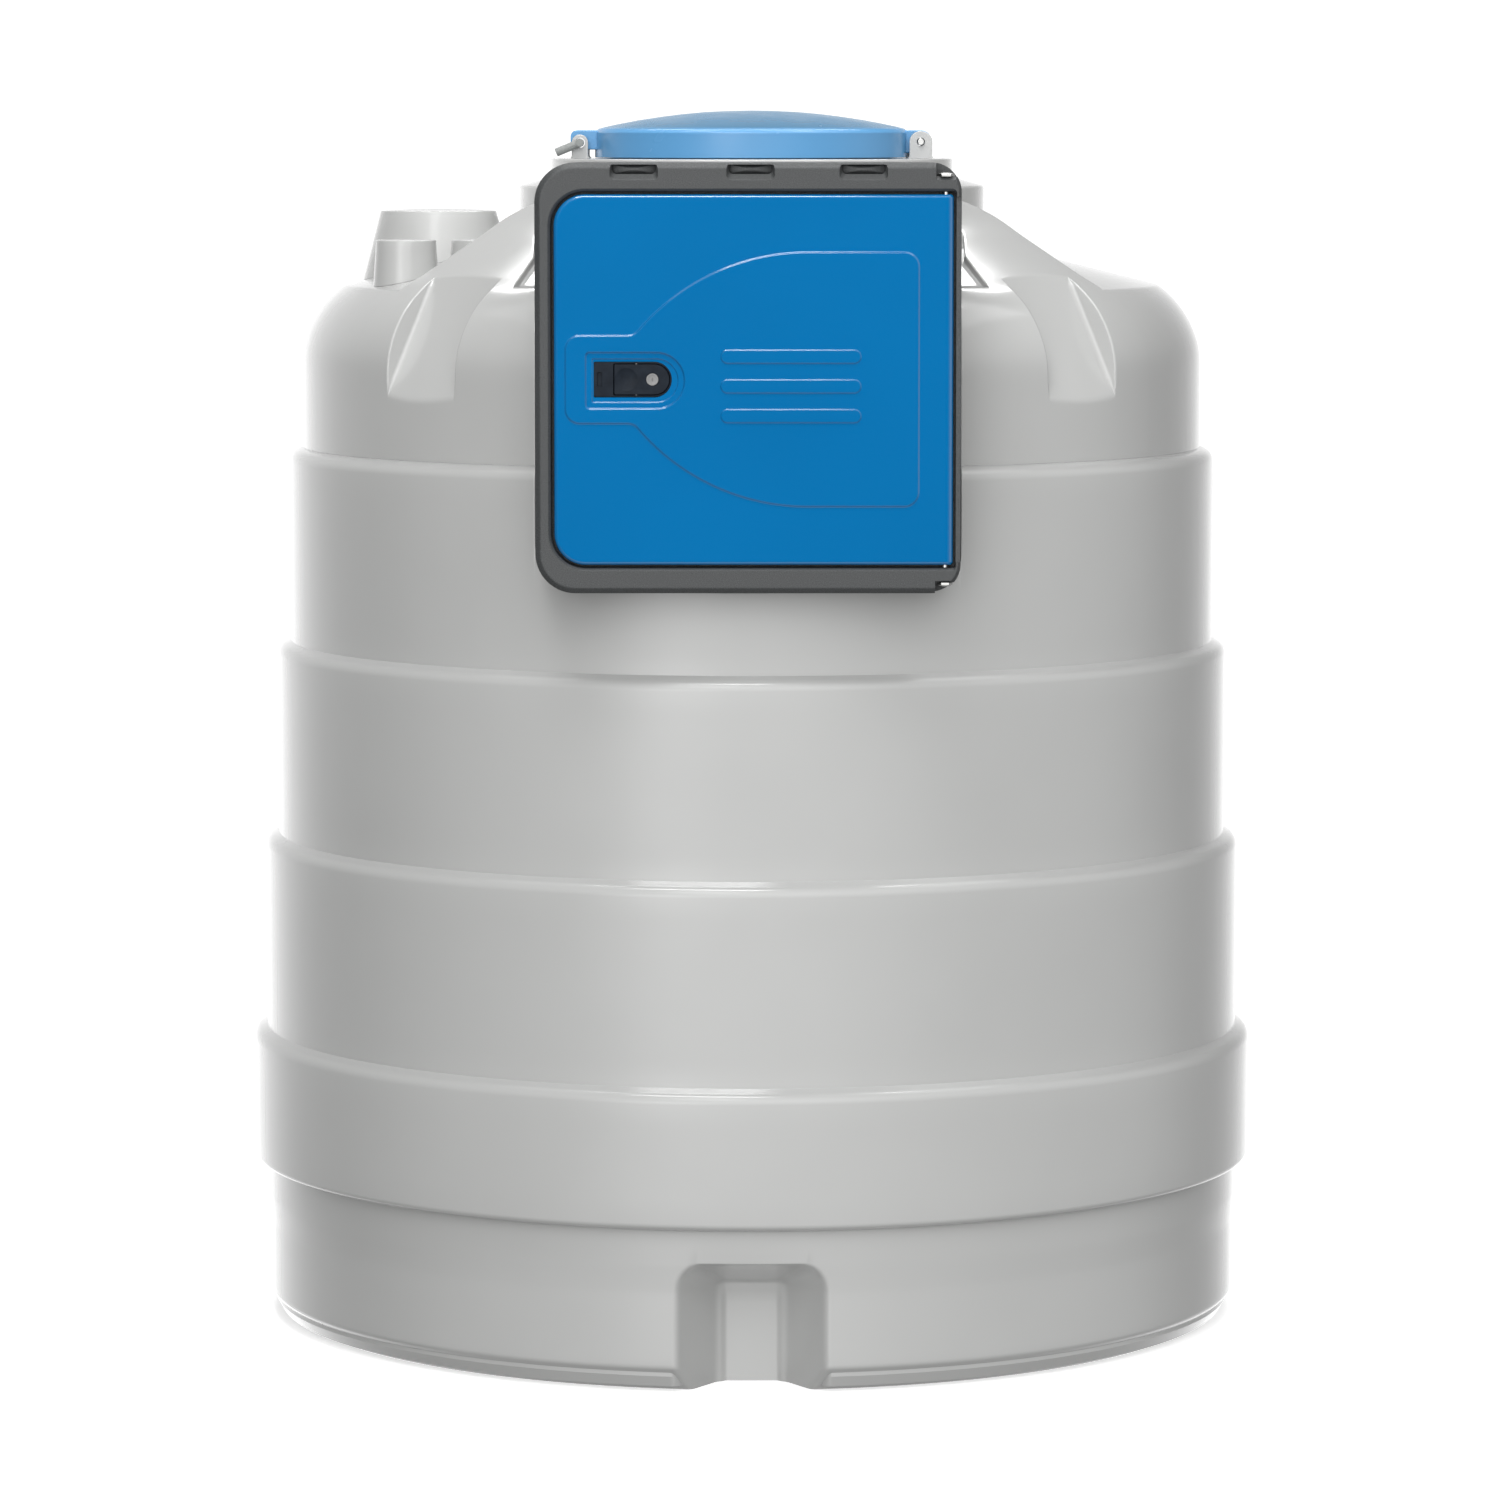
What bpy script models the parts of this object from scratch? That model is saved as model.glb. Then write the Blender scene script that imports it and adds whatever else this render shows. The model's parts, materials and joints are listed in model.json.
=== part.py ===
"""Vertical storage tank: a moulded polyethylene shell 1.9 m across and 2.28 m high, with stepped
rings, a domed roof, a hinged manway lid and a lockable equipment cabinet at the upper front.

Metres, +Z up, front towards -Y, +X to the viewer's right. The origin is on the ground, on the
tank's own axis.
"""

import math

import bmesh
import bpy
from mathutils import Matrix, Vector

# ---------------------------------------------------------------- driving dimensions
SEG = 56  # facets round the shell
GAP = 0.0003  # gap kept between pieces that touch
WALL = 0.010  # moulded wall

R_GROUND = 0.875  # circle that stands on the ground
R_BASE = 0.922  # plain wall below the belt
R_BELT = 0.950  # belt band, the largest radius
BELT_Z = 0.296  # underside of the belt
STEP_R = 0.025  # each ring is this much smaller in radius
STEP_ZS = (0.553, 0.9195, 1.284, 1.650)  # height of each step's inner corner
STEP_DROP = 0.026  # height of the rounded step

SHOULDER = [(0.850, 1.789), (0.8464, 1.840), (0.8297, 1.885), (0.7975, 1.930), (0.770, 1.954)]
SPLIT_Z = 1.954  # wall below, roof above
DOME = [(0.727, 1.983), (0.697, 2.003), (0.628, 2.049), (0.563, 2.093), (0.505, 2.118), (0.440, 2.126)]
R_TURRET = 0.440
TURRET_Z = 2.131
NECK_R = 0.380
NECK_Z0, NECK_Z1 = 2.157, 2.192
MANWAY_R = 0.252
COLLAR_Z = 2.214

LAND_SLOPE = 0.252  # side lands: rise per unit of radius, inwards from the crease
LAND_R = 0.770
LAND_Z = 1.954

SCOOP_TOP = (0.727, 1.983)  # floor of a strap recess, on its centre plane
SCOOP_FOOT = (0.850, 1.759)
SCOOP_HALF = 0.089

CAB_X0, CAB_X1 = -0.3800, 0.3676  # cabinet frame
CAB_Z0, CAB_Z1 = 1.4358, 2.1903
CAB_FRONT = -0.950
CAB_FRAME_BACK = -0.888
CAB_BACK = -0.490
RECESS_X0, RECESS_X1 = -0.3855, 0.3735  # clear width of the recess in the tank
RECESS_Y = -0.475
RECESS_Z = 1.4335
RECESS_R_LEFT, RECESS_R_RIGHT = 0.0735, 0.056  # its lower corners, round the cabinet's
LEDGE_Z = 1.9645

DOOR_X0, DOOR_X1 = -0.3465, 0.354
DOOR_Z0, DOOR_Z1 = 1.486, 2.135
DOOR_FRONT = -0.952
DOOR_THICK = 0.028
HINGE_X, HINGE_Y = 0.340, -0.938
DOOR_GAP = 0.005
LATCH_Z = 1.8117

LID_R = 0.296
LID_HINGE_X, LID_HINGE_Z = 0.319, 2.2235
LOCK_X, LOCK_Z = -0.323, 2.2215
EAR_HALF = 0.049  # half width of the lid's two ears
LUG_IN, LUG_OUT = 0.055, 0.067  # the lugs beside each ear


# ---------------------------------------------------------------- helpers
def clear_scene():
    for obj in list(bpy.data.objects):
        bpy.data.objects.remove(obj, do_unlink=True)


def material(name, colour, roughness, metallic=0.0):
    found = bpy.data.materials.get(name)
    if found:
        return found
    made = bpy.data.materials.new(name)
    made.use_nodes = True
    shader = made.node_tree.nodes["Principled BSDF"]
    shader.inputs["Base Color"].default_value = (*colour, 1.0)
    shader.inputs["Roughness"].default_value = roughness
    shader.inputs["Metallic"].default_value = metallic
    return made


def add(name, bm, mat=None):
    """Links a bmesh as an object, closed and with its faces out."""
    bmesh.ops.remove_doubles(bm, verts=bm.verts, dist=1e-6)
    bmesh.ops.recalc_face_normals(bm, faces=bm.faces)
    mesh = bpy.data.meshes.new(name)
    bm.to_mesh(mesh)
    bm.free()
    obj = bpy.data.objects.new(name, mesh)
    bpy.context.scene.collection.objects.link(obj)
    if mat:
        mesh.materials.append(mat)
    return obj


def turned(name, profile, segments=SEG, mat=None, centre=(0.0, 0.0), closed=False):
    """Turns a list of (radius, z). Points on the axis become single points; closed joins the ends."""
    bm = bmesh.new()
    rings = []
    for r, z in profile:
        if r < 1e-6:
            rings.append([bm.verts.new((centre[0], centre[1], z))])
            continue
        rings.append(
            [
                bm.verts.new(
                    (
                        centre[0] + r * math.cos(2 * math.pi * i / segments),
                        centre[1] + r * math.sin(2 * math.pi * i / segments),
                        z,
                    )
                )
                for i in range(segments)
            ]
        )
    pairs = list(zip(rings, rings[1:]))
    if closed:
        pairs.append((rings[-1], rings[0]))
    for low, high in pairs:
        for i in range(segments):
            j = (i + 1) % segments
            if len(low) == 1 and len(high) == 1:
                continue
            if len(low) == 1:
                bm.faces.new((low[0], high[i], high[j]))
            elif len(high) == 1:
                bm.faces.new((low[i], low[j], high[0]))
            else:
                bm.faces.new((low[i], low[j], high[j], high[i]))
    return add(name, bm, mat)


def prism(name, outline, low, high, axis="Z", mat=None):
    """Extrudes a plane outline. On Z it is (x, y), and on Y it is (x, z)."""
    bm = bmesh.new()
    ends = []
    for at in (low, high):
        ends.append([bm.verts.new((a, b, at) if axis == "Z" else (a, at, b)) for a, b in outline])
    bm.faces.new(ends[0])
    bm.faces.new(ends[1])
    count = len(outline)
    for i in range(count):
        j = (i + 1) % count
        bm.faces.new((ends[0][i], ends[0][j], ends[1][j], ends[1][i]))
    return add(name, bm, mat)


def box(name, x, y, z, mat=None):
    return prism(name, [(x[0], y[0]), (x[1], y[0]), (x[1], y[1]), (x[0], y[1])], z[0], z[1], "Z", mat)


def hull(name, points, mat=None):
    bm = bmesh.new()
    for point in points:
        bm.verts.new(point)
    made = bmesh.ops.convex_hull(bm, input=bm.verts)
    loose = [g for g in made["geom_interior"] + made["geom_unused"] if isinstance(g, bmesh.types.BMVert)]
    bmesh.ops.delete(bm, geom=loose, context="VERTS")
    return add(name, bm, mat)


def rod(name, start, end, radius, sides=16, mat=None):
    """A plain round bar between two points."""
    start, end = Vector(start), Vector(end)
    axis = end - start
    bm = bmesh.new()
    bmesh.ops.create_cone(
        bm, cap_ends=True, segments=sides, radius1=radius, radius2=radius, depth=axis.length,
        matrix=Matrix.Translation((start + end) / 2) @ axis.to_track_quat("Z", "Y").to_matrix().to_4x4(),
    )
    return add(name, bm, mat)


def boolean(target, others, operation="DIFFERENCE"):
    """Applies one Boolean per cutter and removes the cutters."""
    for other in others:
        other.hide_render = True
        other.display_type = "WIRE"
        modifier = target.modifiers.new("cut", "BOOLEAN")
        modifier.operation = operation
        modifier.solver = "EXACT"
        modifier.object = other
        graph = bpy.context.evaluated_depsgraph_get()
        result = bpy.data.meshes.new_from_object(target.evaluated_get(graph))
        target.modifiers.remove(modifier)
        target.data = result
        bpy.data.objects.remove(other, do_unlink=True)
    tidy(target)
    return target


def tidy(obj):
    bm = bmesh.new()
    bm.from_mesh(obj.data)
    bmesh.ops.remove_doubles(bm, verts=bm.verts, dist=5e-6)
    bmesh.ops.dissolve_degenerate(bm, edges=bm.edges, dist=5e-6)
    bm.to_mesh(obj.data)
    bm.free()


def smooth(obj, degrees=32):
    obj.data.shade_smooth()
    obj.data.set_sharp_from_angle(angle=math.radians(degrees))
    return obj


def inset(points, amount):
    """Moves an outer (radius, z) line inwards by the wall thickness, mitred at its corners."""
    normals = []
    for (r0, z0), (r1, z1) in zip(points, points[1:]):
        length = math.hypot(r1 - r0, z1 - z0)
        normals.append(((z1 - z0) / length, -(r1 - r0) / length))
    out = []
    for i, (r, z) in enumerate(points):
        a = normals[max(i - 1, 0)]
        b = normals[min(i, len(normals) - 1)]
        nr, nz = a[0] + b[0], a[1] + b[1]
        size = nr * nr + nz * nz
        out.append((r - 2 * amount * nr / size, z - 2 * amount * nz / size))
    return out


def rounded(x0, x1, z0, z1, left, right, steps=6):
    """A rounded rectangle, with one corner radius on its left side and one on its right."""
    points = []
    for cx, cz, radius, start in (
        (x1 - right, z1 - right, right, 0),
        (x0 + left, z1 - left, left, 90),
        (x0 + left, z0 + left, left, 180),
        (x1 - right, z0 + right, right, 270),
    ):
        if radius < 1e-6:
            points.append((cx, cz))
            continue
        for i in range(steps + 1):
            angle = math.radians(start + 90 * i / steps)
            points.append((cx + radius * math.cos(angle), cz + radius * math.sin(angle)))
    return points


def recess_outline(grow):
    """The cabinet recess seen from the front: open at the top, with rounded lower corners."""
    x0, x1, z0 = RECESS_X0 - grow, RECESS_X1 + grow, RECESS_Z - grow
    points = [(x1, 2.5), (x0, 2.5)]
    for x, radius, start in ((x0, RECESS_R_LEFT + grow, 180), (x1, RECESS_R_RIGHT + grow, 270)):
        cx = x + radius if start == 180 else x - radius
        for i in range(5):
            angle = math.radians(start + 22.5 * i)
            points.append((cx + radius * math.cos(angle), z0 + radius + radius * math.sin(angle)))
    return points


# ---------------------------------------------------------------- shell cutters
def scoop_cutter(angle, grow):
    """A strap recess: a flat sloping floor between two walls parallel to the radius."""
    du, dz = SCOOP_FOOT[0] - SCOOP_TOP[0], SCOOP_FOOT[1] - SCOOP_TOP[1]
    length = math.hypot(du, dz)
    du, dz = du / length, dz / length
    nu, nz = -dz, du
    top = (SCOOP_TOP[0] - 0.090 * du - grow * nu, SCOOP_TOP[1] - 0.090 * dz - grow * nz)
    foot = (SCOOP_FOOT[0] + 0.060 * du - grow * nu, SCOOP_FOOT[1] + 0.060 * dz - grow * nz)
    half = SCOOP_HALF + grow
    bm = bmesh.new()
    ends = []
    for v in (-half, half):
        ends.append([bm.verts.new((u, v, z)) for u, z in (top, foot, (1.05, foot[1]), (1.05, top[1]))])
    bm.faces.new(ends[0])
    bm.faces.new(ends[1])
    for i in range(4):
        j = (i + 1) % 4
        bm.faces.new((ends[0][i], ends[0][j], ends[1][j], ends[1][i]))
    bmesh.ops.rotate(bm, verts=bm.verts, cent=(0, 0, 0), matrix=Matrix.Rotation(angle, 3, "Z"))
    return add("scoop_cut", bm)


def land_cutter(side, grow):
    """A side land: the space over a shallow cone, outside the turret and between two plan lines."""
    def z_at(r):
        return LAND_Z + (LAND_R - r) * LAND_SLOPE - grow * 1.031

    def y_at(x):
        return 0.421 - (0.644 - x) * 0.356 + grow * 1.0615

    inner = R_TURRET + 0.0004 - grow
    ring = turned("land_cut", [(inner, z_at(inner)), (1.1, z_at(1.1)), (1.1, 2.5), (inner, 2.5)], closed=True)
    outline = [(side * 0.2, -y_at(0.2)), (side * 1.2, -y_at(1.2)), (side * 1.2, y_at(1.2)), (side * 0.2, y_at(0.2))]
    return boolean(ring, [prism("land_plan", outline, 1.5, 2.6)], "INTERSECT")


def notch_cutter(front, grow):
    """A base recess, narrow and low at its back and wider at its mouth."""
    back_y, mouth_y = 0.792 - grow, 1.02
    reach = mouth_y - back_y
    b, top = 0.061 + 1.17 * grow - 0.608 * grow * 0, 0.183 + 1.083 * grow
    m, mouth_top = b + 0.608 * reach, top + 0.415 * reach
    points = []
    for y, half, z, corner in ((back_y, b, top, 0.018), (mouth_y, m, mouth_top, 0.055)):
        for s in (-1, 1):
            points += [(s * half, -front * y, -0.05), (s * half, -front * y, z - corner), (s * (half - corner), -front * y, z)]
    return hull("notch_cut", points)


def pocket_cutter(grow):
    """The space in the roof that stands open round the cabinet."""
    g = grow
    back = RECESS_Y + 0.004 + g
    outline = [
        (-0.394 - g, back), (-0.394 - g, -0.550 + 0.25 * g), (-0.508 - 1.12 * g, -0.781),
        (-0.508 - 1.12 * g, -1.05), (0.518 + 1.15 * g, -1.05), (0.518 + 1.15 * g, -0.781),
        (0.386 + g, -0.550 + 0.27 * g), (0.386 + g, back),
    ]
    return prism("pocket_cut", outline, LEDGE_Z - g, 2.6)


def segments(obj, names):
    """Splits a round shell into equal wedges, counted round from the front towards the left."""
    step = 2 * math.pi / len(names)
    for i, name in enumerate(names):
        a0, a1 = -math.pi / 2 - i * step, -math.pi / 2 - (i + 1) * step
        middle, back_off = (a0 + a1) / 2, GAP / 2 / math.sin(step / 2)
        x, y = back_off * math.cos(middle), back_off * math.sin(middle)
        outline = [(x, y)] + [(x + 3 * math.cos(a), y + 3 * math.sin(a)) for a in (a1, a0)]
        piece = bpy.data.objects.new(f"{obj.name}_{name}", obj.data.copy())
        bpy.context.scene.collection.objects.link(piece)
        boolean(piece, [prism("segment", outline, -0.5, 2.7)], "INTERSECT")
        smooth(piece)
    bpy.data.objects.remove(obj, do_unlink=True)


# ---------------------------------------------------------------- tank shell
def wall_line():
    line = [
        (R_GROUND + WALL + GAP, WALL + GAP), (R_BASE, R_BASE - R_GROUND), (R_BASE, 0.184), (0.9254, 0.233),
        (0.9254, BELT_Z), (0.941, BELT_Z + 0.004), (R_BELT, BELT_Z + 0.016),
    ]
    outer = R_BELT
    for z in STEP_ZS:
        line += [(outer, z - STEP_DROP), (outer - 0.012, z - 0.007), (outer - STEP_R, z)]
        outer -= STEP_R
    return line + SHOULDER


def wall_inner_line():
    line = [(R_GROUND - 1.4142 * WALL - 0.02, -0.02), (R_BASE - WALL, R_BASE - WALL - R_GROUND + 1.4142 * WALL)]
    line += [(R_BASE - WALL, 0.184), (0.9154, 0.233), (0.9154, BELT_Z + 0.009), (R_BELT - WALL, BELT_Z + 0.020)]
    outer = R_BELT
    for z in STEP_ZS:
        line += [(outer - WALL, z - 0.030), (outer - STEP_R - WALL, z - 0.0035)]
        outer -= STEP_R
    return line


def make_shell(grey):
    upper_inner = inset(SHOULDER + DOME, WALL)
    angles = [math.radians(a) for a in (45, 135, 225, 315)]

    # Tank floor: a flat round plate whose edge carries the chamfer.
    floor = turned("tank_floor", [(0, 0), (R_GROUND, 0), (R_GROUND + WALL, WALL), (0, WALL)], mat=grey)
    boolean(floor, [notch_cutter(1, 0), notch_cutter(-1, 0)])

    # Tank wall: outer solid less the same shape moved in by the wall thickness.
    wall = turned("tank_wall", [(0, WALL + GAP)] + wall_line() + [(0, SPLIT_Z)], mat=grey)
    boolean(wall, [scoop_cutter(a, 0) for a in angles] + [notch_cutter(1, 0), notch_cutter(-1, 0)])
    inner = turned("inner", [(0, -0.02)] + wall_inner_line() + upper_inner[:6] + [(0, upper_inner[5][1])])
    boolean(inner, [scoop_cutter(a, WALL) for a in angles] + [notch_cutter(1, WALL), notch_cutter(-1, WALL)])
    boolean(wall, [inner])
    opening = prism("opening", recess_outline(WALL + 2 * GAP), -1.1, RECESS_Y + WALL + 2 * GAP, "Y")
    boolean(wall, [opening])

    # Roof: dome, side lands and turret in one moulding.
    z0 = SPLIT_Z + GAP
    r0 = SHOULDER[-1][0] - GAP / 0.6744
    outside = [(0, z0), (r0, z0)] + DOME + [(R_TURRET, TURRET_Z), (R_TURRET - 0.007, TURRET_Z + 0.009), (NECK_R, NECK_Z0), (0, NECK_Z0)]
    roof = turned("tank_roof", outside, mat=grey)
    recess = box("recess", (RECESS_X0, RECESS_X1), (-1.1, RECESS_Y), (1.8, 2.6))
    boolean(roof, [land_cutter(-1, 0), land_cutter(1, 0)] + [scoop_cutter(a, 0) for a in angles] + [pocket_cutter(0), recess])
    line = upper_inner[3:-1] + [(0.4388, 2.116), (0.377, NECK_Z0 - WALL * 0.95)]
    inner = turned("inner", [(0, line[0][1])] + line + [(0, NECK_Z0 - WALL * 0.95)])
    recess = box("recess", (RECESS_X0 - WALL, RECESS_X1 + WALL), (-1.1, RECESS_Y + WALL), (1.7, 2.6))
    boolean(
        inner,
        [land_cutter(-1, WALL), land_cutter(1, WALL)] + [scoop_cutter(a, WALL) for a in angles] + [pocket_cutter(WALL), recess],
    )
    boolean(roof, [inner])
    boolean(roof, [turned("hole", [(0, 1.8), (MANWAY_R, 1.8), (MANWAY_R, 2.5), (0, 2.5)], 40)])

    # Recess liner that the cabinet stands in.
    liner = prism("cabinet_recess", recess_outline(WALL), -1.0, RECESS_Y + WALL, "Y", grey)
    boolean(liner, [prism("hollow", recess_outline(0), -1.1, RECESS_Y, "Y")])
    boolean(liner, [box("above", (-0.6, 0.6), (-1.2, 0.0), (SPLIT_Z - GAP, 2.8))])
    full = turned("full", [(0, 1.30), (0.875, 1.30), (0.875, 1.624), (0.863, 1.643)] + [(0.850, 1.650)] + SHOULDER[:] + [(0.70, 2.002), (0, 2.002)])
    boolean(liner, [full], "INTERSECT")
    for obj in (floor, liner):
        smooth(obj)
    segments(wall, ("front_left", "left_front", "left_rear", "rear_left", "rear_right", "right_rear", "right_front", "front_right"))
    segments(roof, ("front_left", "rear_left", "rear_right", "front_right"))


# ---------------------------------------------------------------- manway and caps
def make_manway(grey, blue, steel, dark):
    neck = turned(
        "manway_neck",
        [
            (NECK_R, NECK_Z0 + GAP), (NECK_R, NECK_Z1 - 0.005), (NECK_R - 0.004, NECK_Z1), (0.262, NECK_Z1),
            (0.262, COLLAR_Z), (MANWAY_R, COLLAR_Z), (MANWAY_R, NECK_Z0 + GAP), (0.262, NECK_Z0 + GAP),
            (0.262, NECK_Z1 - WALL), (NECK_R - WALL, NECK_Z1 - WALL), (NECK_R - WALL, NECK_Z0 + GAP),
        ],
        40, grey, closed=True,
    )
    smooth(neck)

    lid = turned(
        "lid",
        [
            (0, 2.282), (0.090, 2.279), (0.171, 2.270), (0.250, 2.257), (0.290, 2.2475), (LID_R, 2.240), (LID_R, 2.1935),
            (0.287, 2.1935), (0.287, 2.236), (0.248, 2.2475), (0.170, 2.2605), (0.090, 2.2695), (0, 2.2725),
        ],
        48, blue,
    )
    hinge_ear = box("ear", (0.2885, LID_HINGE_X), (-EAR_HALF, EAR_HALF), (LID_HINGE_Z - 0.020, LID_HINGE_Z + 0.020))
    barrel = rod("barrel", (LID_HINGE_X, -EAR_HALF, LID_HINGE_Z), (LID_HINGE_X, EAR_HALF, LID_HINGE_Z), 0.0215)
    lock_ear = box("lock_ear", (-0.341, -0.2885), (-EAR_HALF, EAR_HALF), (2.2085, 2.2450))
    boolean(lid, [hinge_ear, barrel, lock_ear], "UNION")
    boolean(
        lid,
        [
            rod("hole", (LID_HINGE_X, -0.1, LID_HINGE_Z), (LID_HINGE_X, 0.1, LID_HINGE_Z), 0.0078),
            rod("hole", (LOCK_X, -0.1, LOCK_Z), (LOCK_X, 0.1, LOCK_Z), 0.0095),
        ],
    )
    smooth(lid)

    def lug(name, x, z, half, top, y0, y1, hole):
        """An upright plate with a round head, a hole along Y and a flared foot."""
        outline = [(x + half + 0.002, NECK_Z1 + GAP), (x + half, NECK_Z1 + 0.006)]
        for i in range(9):
            angle = math.pi * i / 8
            outline.append((x + half * math.cos(angle), z + (top - z) * math.sin(angle)))
        outline += [(x - half, NECK_Z1 + 0.006), (x - half - 0.002, NECK_Z1 + GAP)]
        made = prism(name, outline, y0, y1, "Y", grey)
        boolean(made, [rod("hole", (x, y0 - 0.01, z), (x, y1 + 0.01, z), hole)])
        return smooth(made)

    lug("hinge_lug_front", LID_HINGE_X, LID_HINGE_Z, 0.0215, 2.2435, -LUG_OUT, -LUG_IN, 0.0078)
    lug("hinge_lug_rear", LID_HINGE_X, LID_HINGE_Z, 0.0215, 2.2435, LUG_IN, LUG_OUT, 0.0078)
    lug("lock_lug_front", LOCK_X, LOCK_Z, 0.0155, 2.2370, -LUG_OUT, -LUG_IN, 0.0095)
    lug("lock_lug_rear", LOCK_X, LOCK_Z, 0.0155, 2.2370, LUG_IN, LUG_OUT, 0.0095)
    smooth(rod("lid_hinge_pin", (LID_HINGE_X, -0.074, LID_HINGE_Z), (LID_HINGE_X, 0.074, LID_HINGE_Z), 0.0062, 16, steel))

    # Locking pin: its straight end in the front lug's hole, its handle bent down over the neck.
    pin = rod("lid_lock_pin", (LOCK_X, -0.0540, LOCK_Z), (LOCK_X, -0.086, LOCK_Z), 0.0078, 14, dark)
    handle = rod("handle", (LOCK_X + 0.004, -0.0775, LOCK_Z + 0.0016), (LOCK_X - 0.0445, -0.0775, LOCK_Z - 0.0185), 0.0078, 14)
    boolean(pin, [handle], "UNION")
    smooth(pin)


def make_caps(grey):
    def cap(name, x, y, top_r, base_r, top_z, lip):
        """A plain round cap, wider at its foot, cut to the slope of the land that carries it."""
        foot_z = LAND_Z + (LAND_R - math.hypot(x, y)) * LAND_SLOPE
        low = foot_z - 0.075
        slope = (base_r - top_r) / (top_z - (foot_z - 0.03))
        made = turned(
            name,
            [(0, low), (base_r + slope * (foot_z - 0.03 - low), low), (top_r + 0.001, top_z - lip), (top_r - lip, top_z), (0, top_z)],
            32, grey, (x, y),
        )
        land = turned("land", [(0, 1.5), (1.0, 1.5), (1.0, LAND_Z + (LAND_R - 1.0) * LAND_SLOPE + GAP), (0.3, LAND_Z + (LAND_R - 0.3) * LAND_SLOPE + GAP), (0, LAND_Z + (LAND_R - 0.3) * LAND_SLOPE + GAP)], SEG)
        boolean(made, [land])
        return smooth(made)

    cap("fill_cap", -0.594, 0.020, 0.109, 0.142, 2.0943, 0.003)
    cap("vent_cap_outer", -0.640, -0.272, 0.0553, 0.0622, 2.0440, 0.003)
    cap("vent_cap_inner", -0.500, -0.272, 0.0553, 0.0622, 2.0440, 0.003)


# ---------------------------------------------------------------- cabinet
def loft_y(name, rings, mat=None):
    """Joins outlines of equal point count, given as (y, [(x, z)...])."""
    bm = bmesh.new()
    made = [[bm.verts.new((x, y, z)) for x, z in outline] for y, outline in rings]
    bm.faces.new(made[0])
    bm.faces.new(made[-1])
    count = len(made[0])
    for a, b in zip(made, made[1:]):
        for i in range(count):
            j = (i + 1) % count
            bm.faces.new((a[i], a[j], b[j], b[i]))
    return add(name, bm, mat)


def grown(x0, x1, z0, z1, left, right, amount, steps=6):
    return rounded(x0 - amount, x1 + amount, z0 - amount, z1 + amount, left + amount, right + amount, steps)


def make_cabinet(dark, steel, black):
    corners = (CAB_X0, CAB_X1, CAB_Z0, CAB_Z1, 0.070, 0.052)
    frame = loft_y(
        "cabinet_frame",
        [
            (CAB_FRONT, grown(*corners, -0.008)), (CAB_FRONT + 0.004, grown(*corners, -0.002)),
            (CAB_FRONT + 0.010, grown(*corners, 0)), (CAB_FRAME_BACK, grown(*corners, 0)),
        ],
        dark,
    )
    opening = (DOOR_X0 - DOOR_GAP - 0.0004, DOOR_X1 + 0.0045, DOOR_Z0 - DOOR_GAP, DOOR_Z1 + DOOR_GAP, 0.060, 0.004)
    through = prism("through", rounded(DOOR_X0 + 0.014, DOOR_X1 - 0.030, DOOR_Z0 + 0.014, DOOR_Z1 - 0.014, 0.045, 0.010), -1.0, -0.85, "Y")
    boolean(frame, [prism("opening", rounded(*opening), -1.0, -0.9185, "Y"), through])
    boolean(frame, [box("rail", (0.350, 0.40), (-1.0, -0.9425), (DOOR_Z0 + 0.004, DOOR_Z1 - 0.004))])
    pockets = [
        prism("pocket", rounded(x - 0.041, x + 0.041, CAB_Z1 - 0.020, CAB_Z1 + 0.04, 0.010, 0.010, 2), -1.0, -0.926, "Y")
        for x in (-0.2058, -0.0016, 0.196)
    ]
    ends = [
        box("end_pocket", (0.3225, 0.40), (-1.0, -0.900), (CAB_Z1 - 0.0285, 2.3)),
        box("end_pocket", (0.3225, 0.40), (-1.0, -0.900), (1.3, CAB_Z0 + 0.0225)),
    ]
    boolean(frame, pockets + ends)
    smooth(frame, 25)

    side = (CAB_X0 + 0.002, CAB_X1 - 0.002, CAB_Z0 + 0.002, CAB_Z1 - 0.002, 0.068, 0.050)
    housing = prism("cabinet_housing", rounded(*side), CAB_FRAME_BACK + GAP, CAB_BACK + 0.006, "Y", dark)
    boolean(housing, [prism("hollow", grown(*side, -0.006), -1.0, -0.40, "Y")])
    smooth(housing, 25)
    smooth(prism("cabinet_back", rounded(*side), CAB_BACK + 0.006 + GAP, CAB_BACK + 0.012, "Y", dark), 25)

    # Hinge bolts: a hexagon head in each end pocket, and the pin that the door turns on.
    top_seat, low_seat = CAB_Z1 - 0.0285, CAB_Z0 + 0.0225
    bolt = rod("hinge_bolt_top", (HINGE_X, HINGE_Y, top_seat + GAP), (HINGE_X, HINGE_Y, top_seat + 0.0125), 0.0155, 6, steel)
    smooth(bolt)
    bolt = rod("hinge_bolt_low", (HINGE_X, HINGE_Y, low_seat - GAP), (HINGE_X, HINGE_Y, low_seat - 0.0085), 0.0135, 6, steel)
    smooth(bolt)
    smooth(rod("hinge_pin_top", (HINGE_X, HINGE_Y, DOOR_Z1 + DOOR_GAP - GAP), (HINGE_X, HINGE_Y, DOOR_Z1 - 0.018), 0.0055, 14, steel))
    smooth(rod("hinge_pin_low", (HINGE_X, HINGE_Y, DOOR_Z0 - DOOR_GAP + GAP), (HINGE_X, HINGE_Y, DOOR_Z0 + 0.018), 0.0055, 14, steel))

    # Keeper on the housing's left wall, behind the door's free edge.
    inner_x = CAB_X0 + 0.002 + 0.006
    keeper = box("latch_keeper", (inner_x + GAP, inner_x + 0.003), (-0.8870, -0.845), (LATCH_Z - 0.045, LATCH_Z + 0.045), steel)
    return keeper


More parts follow.
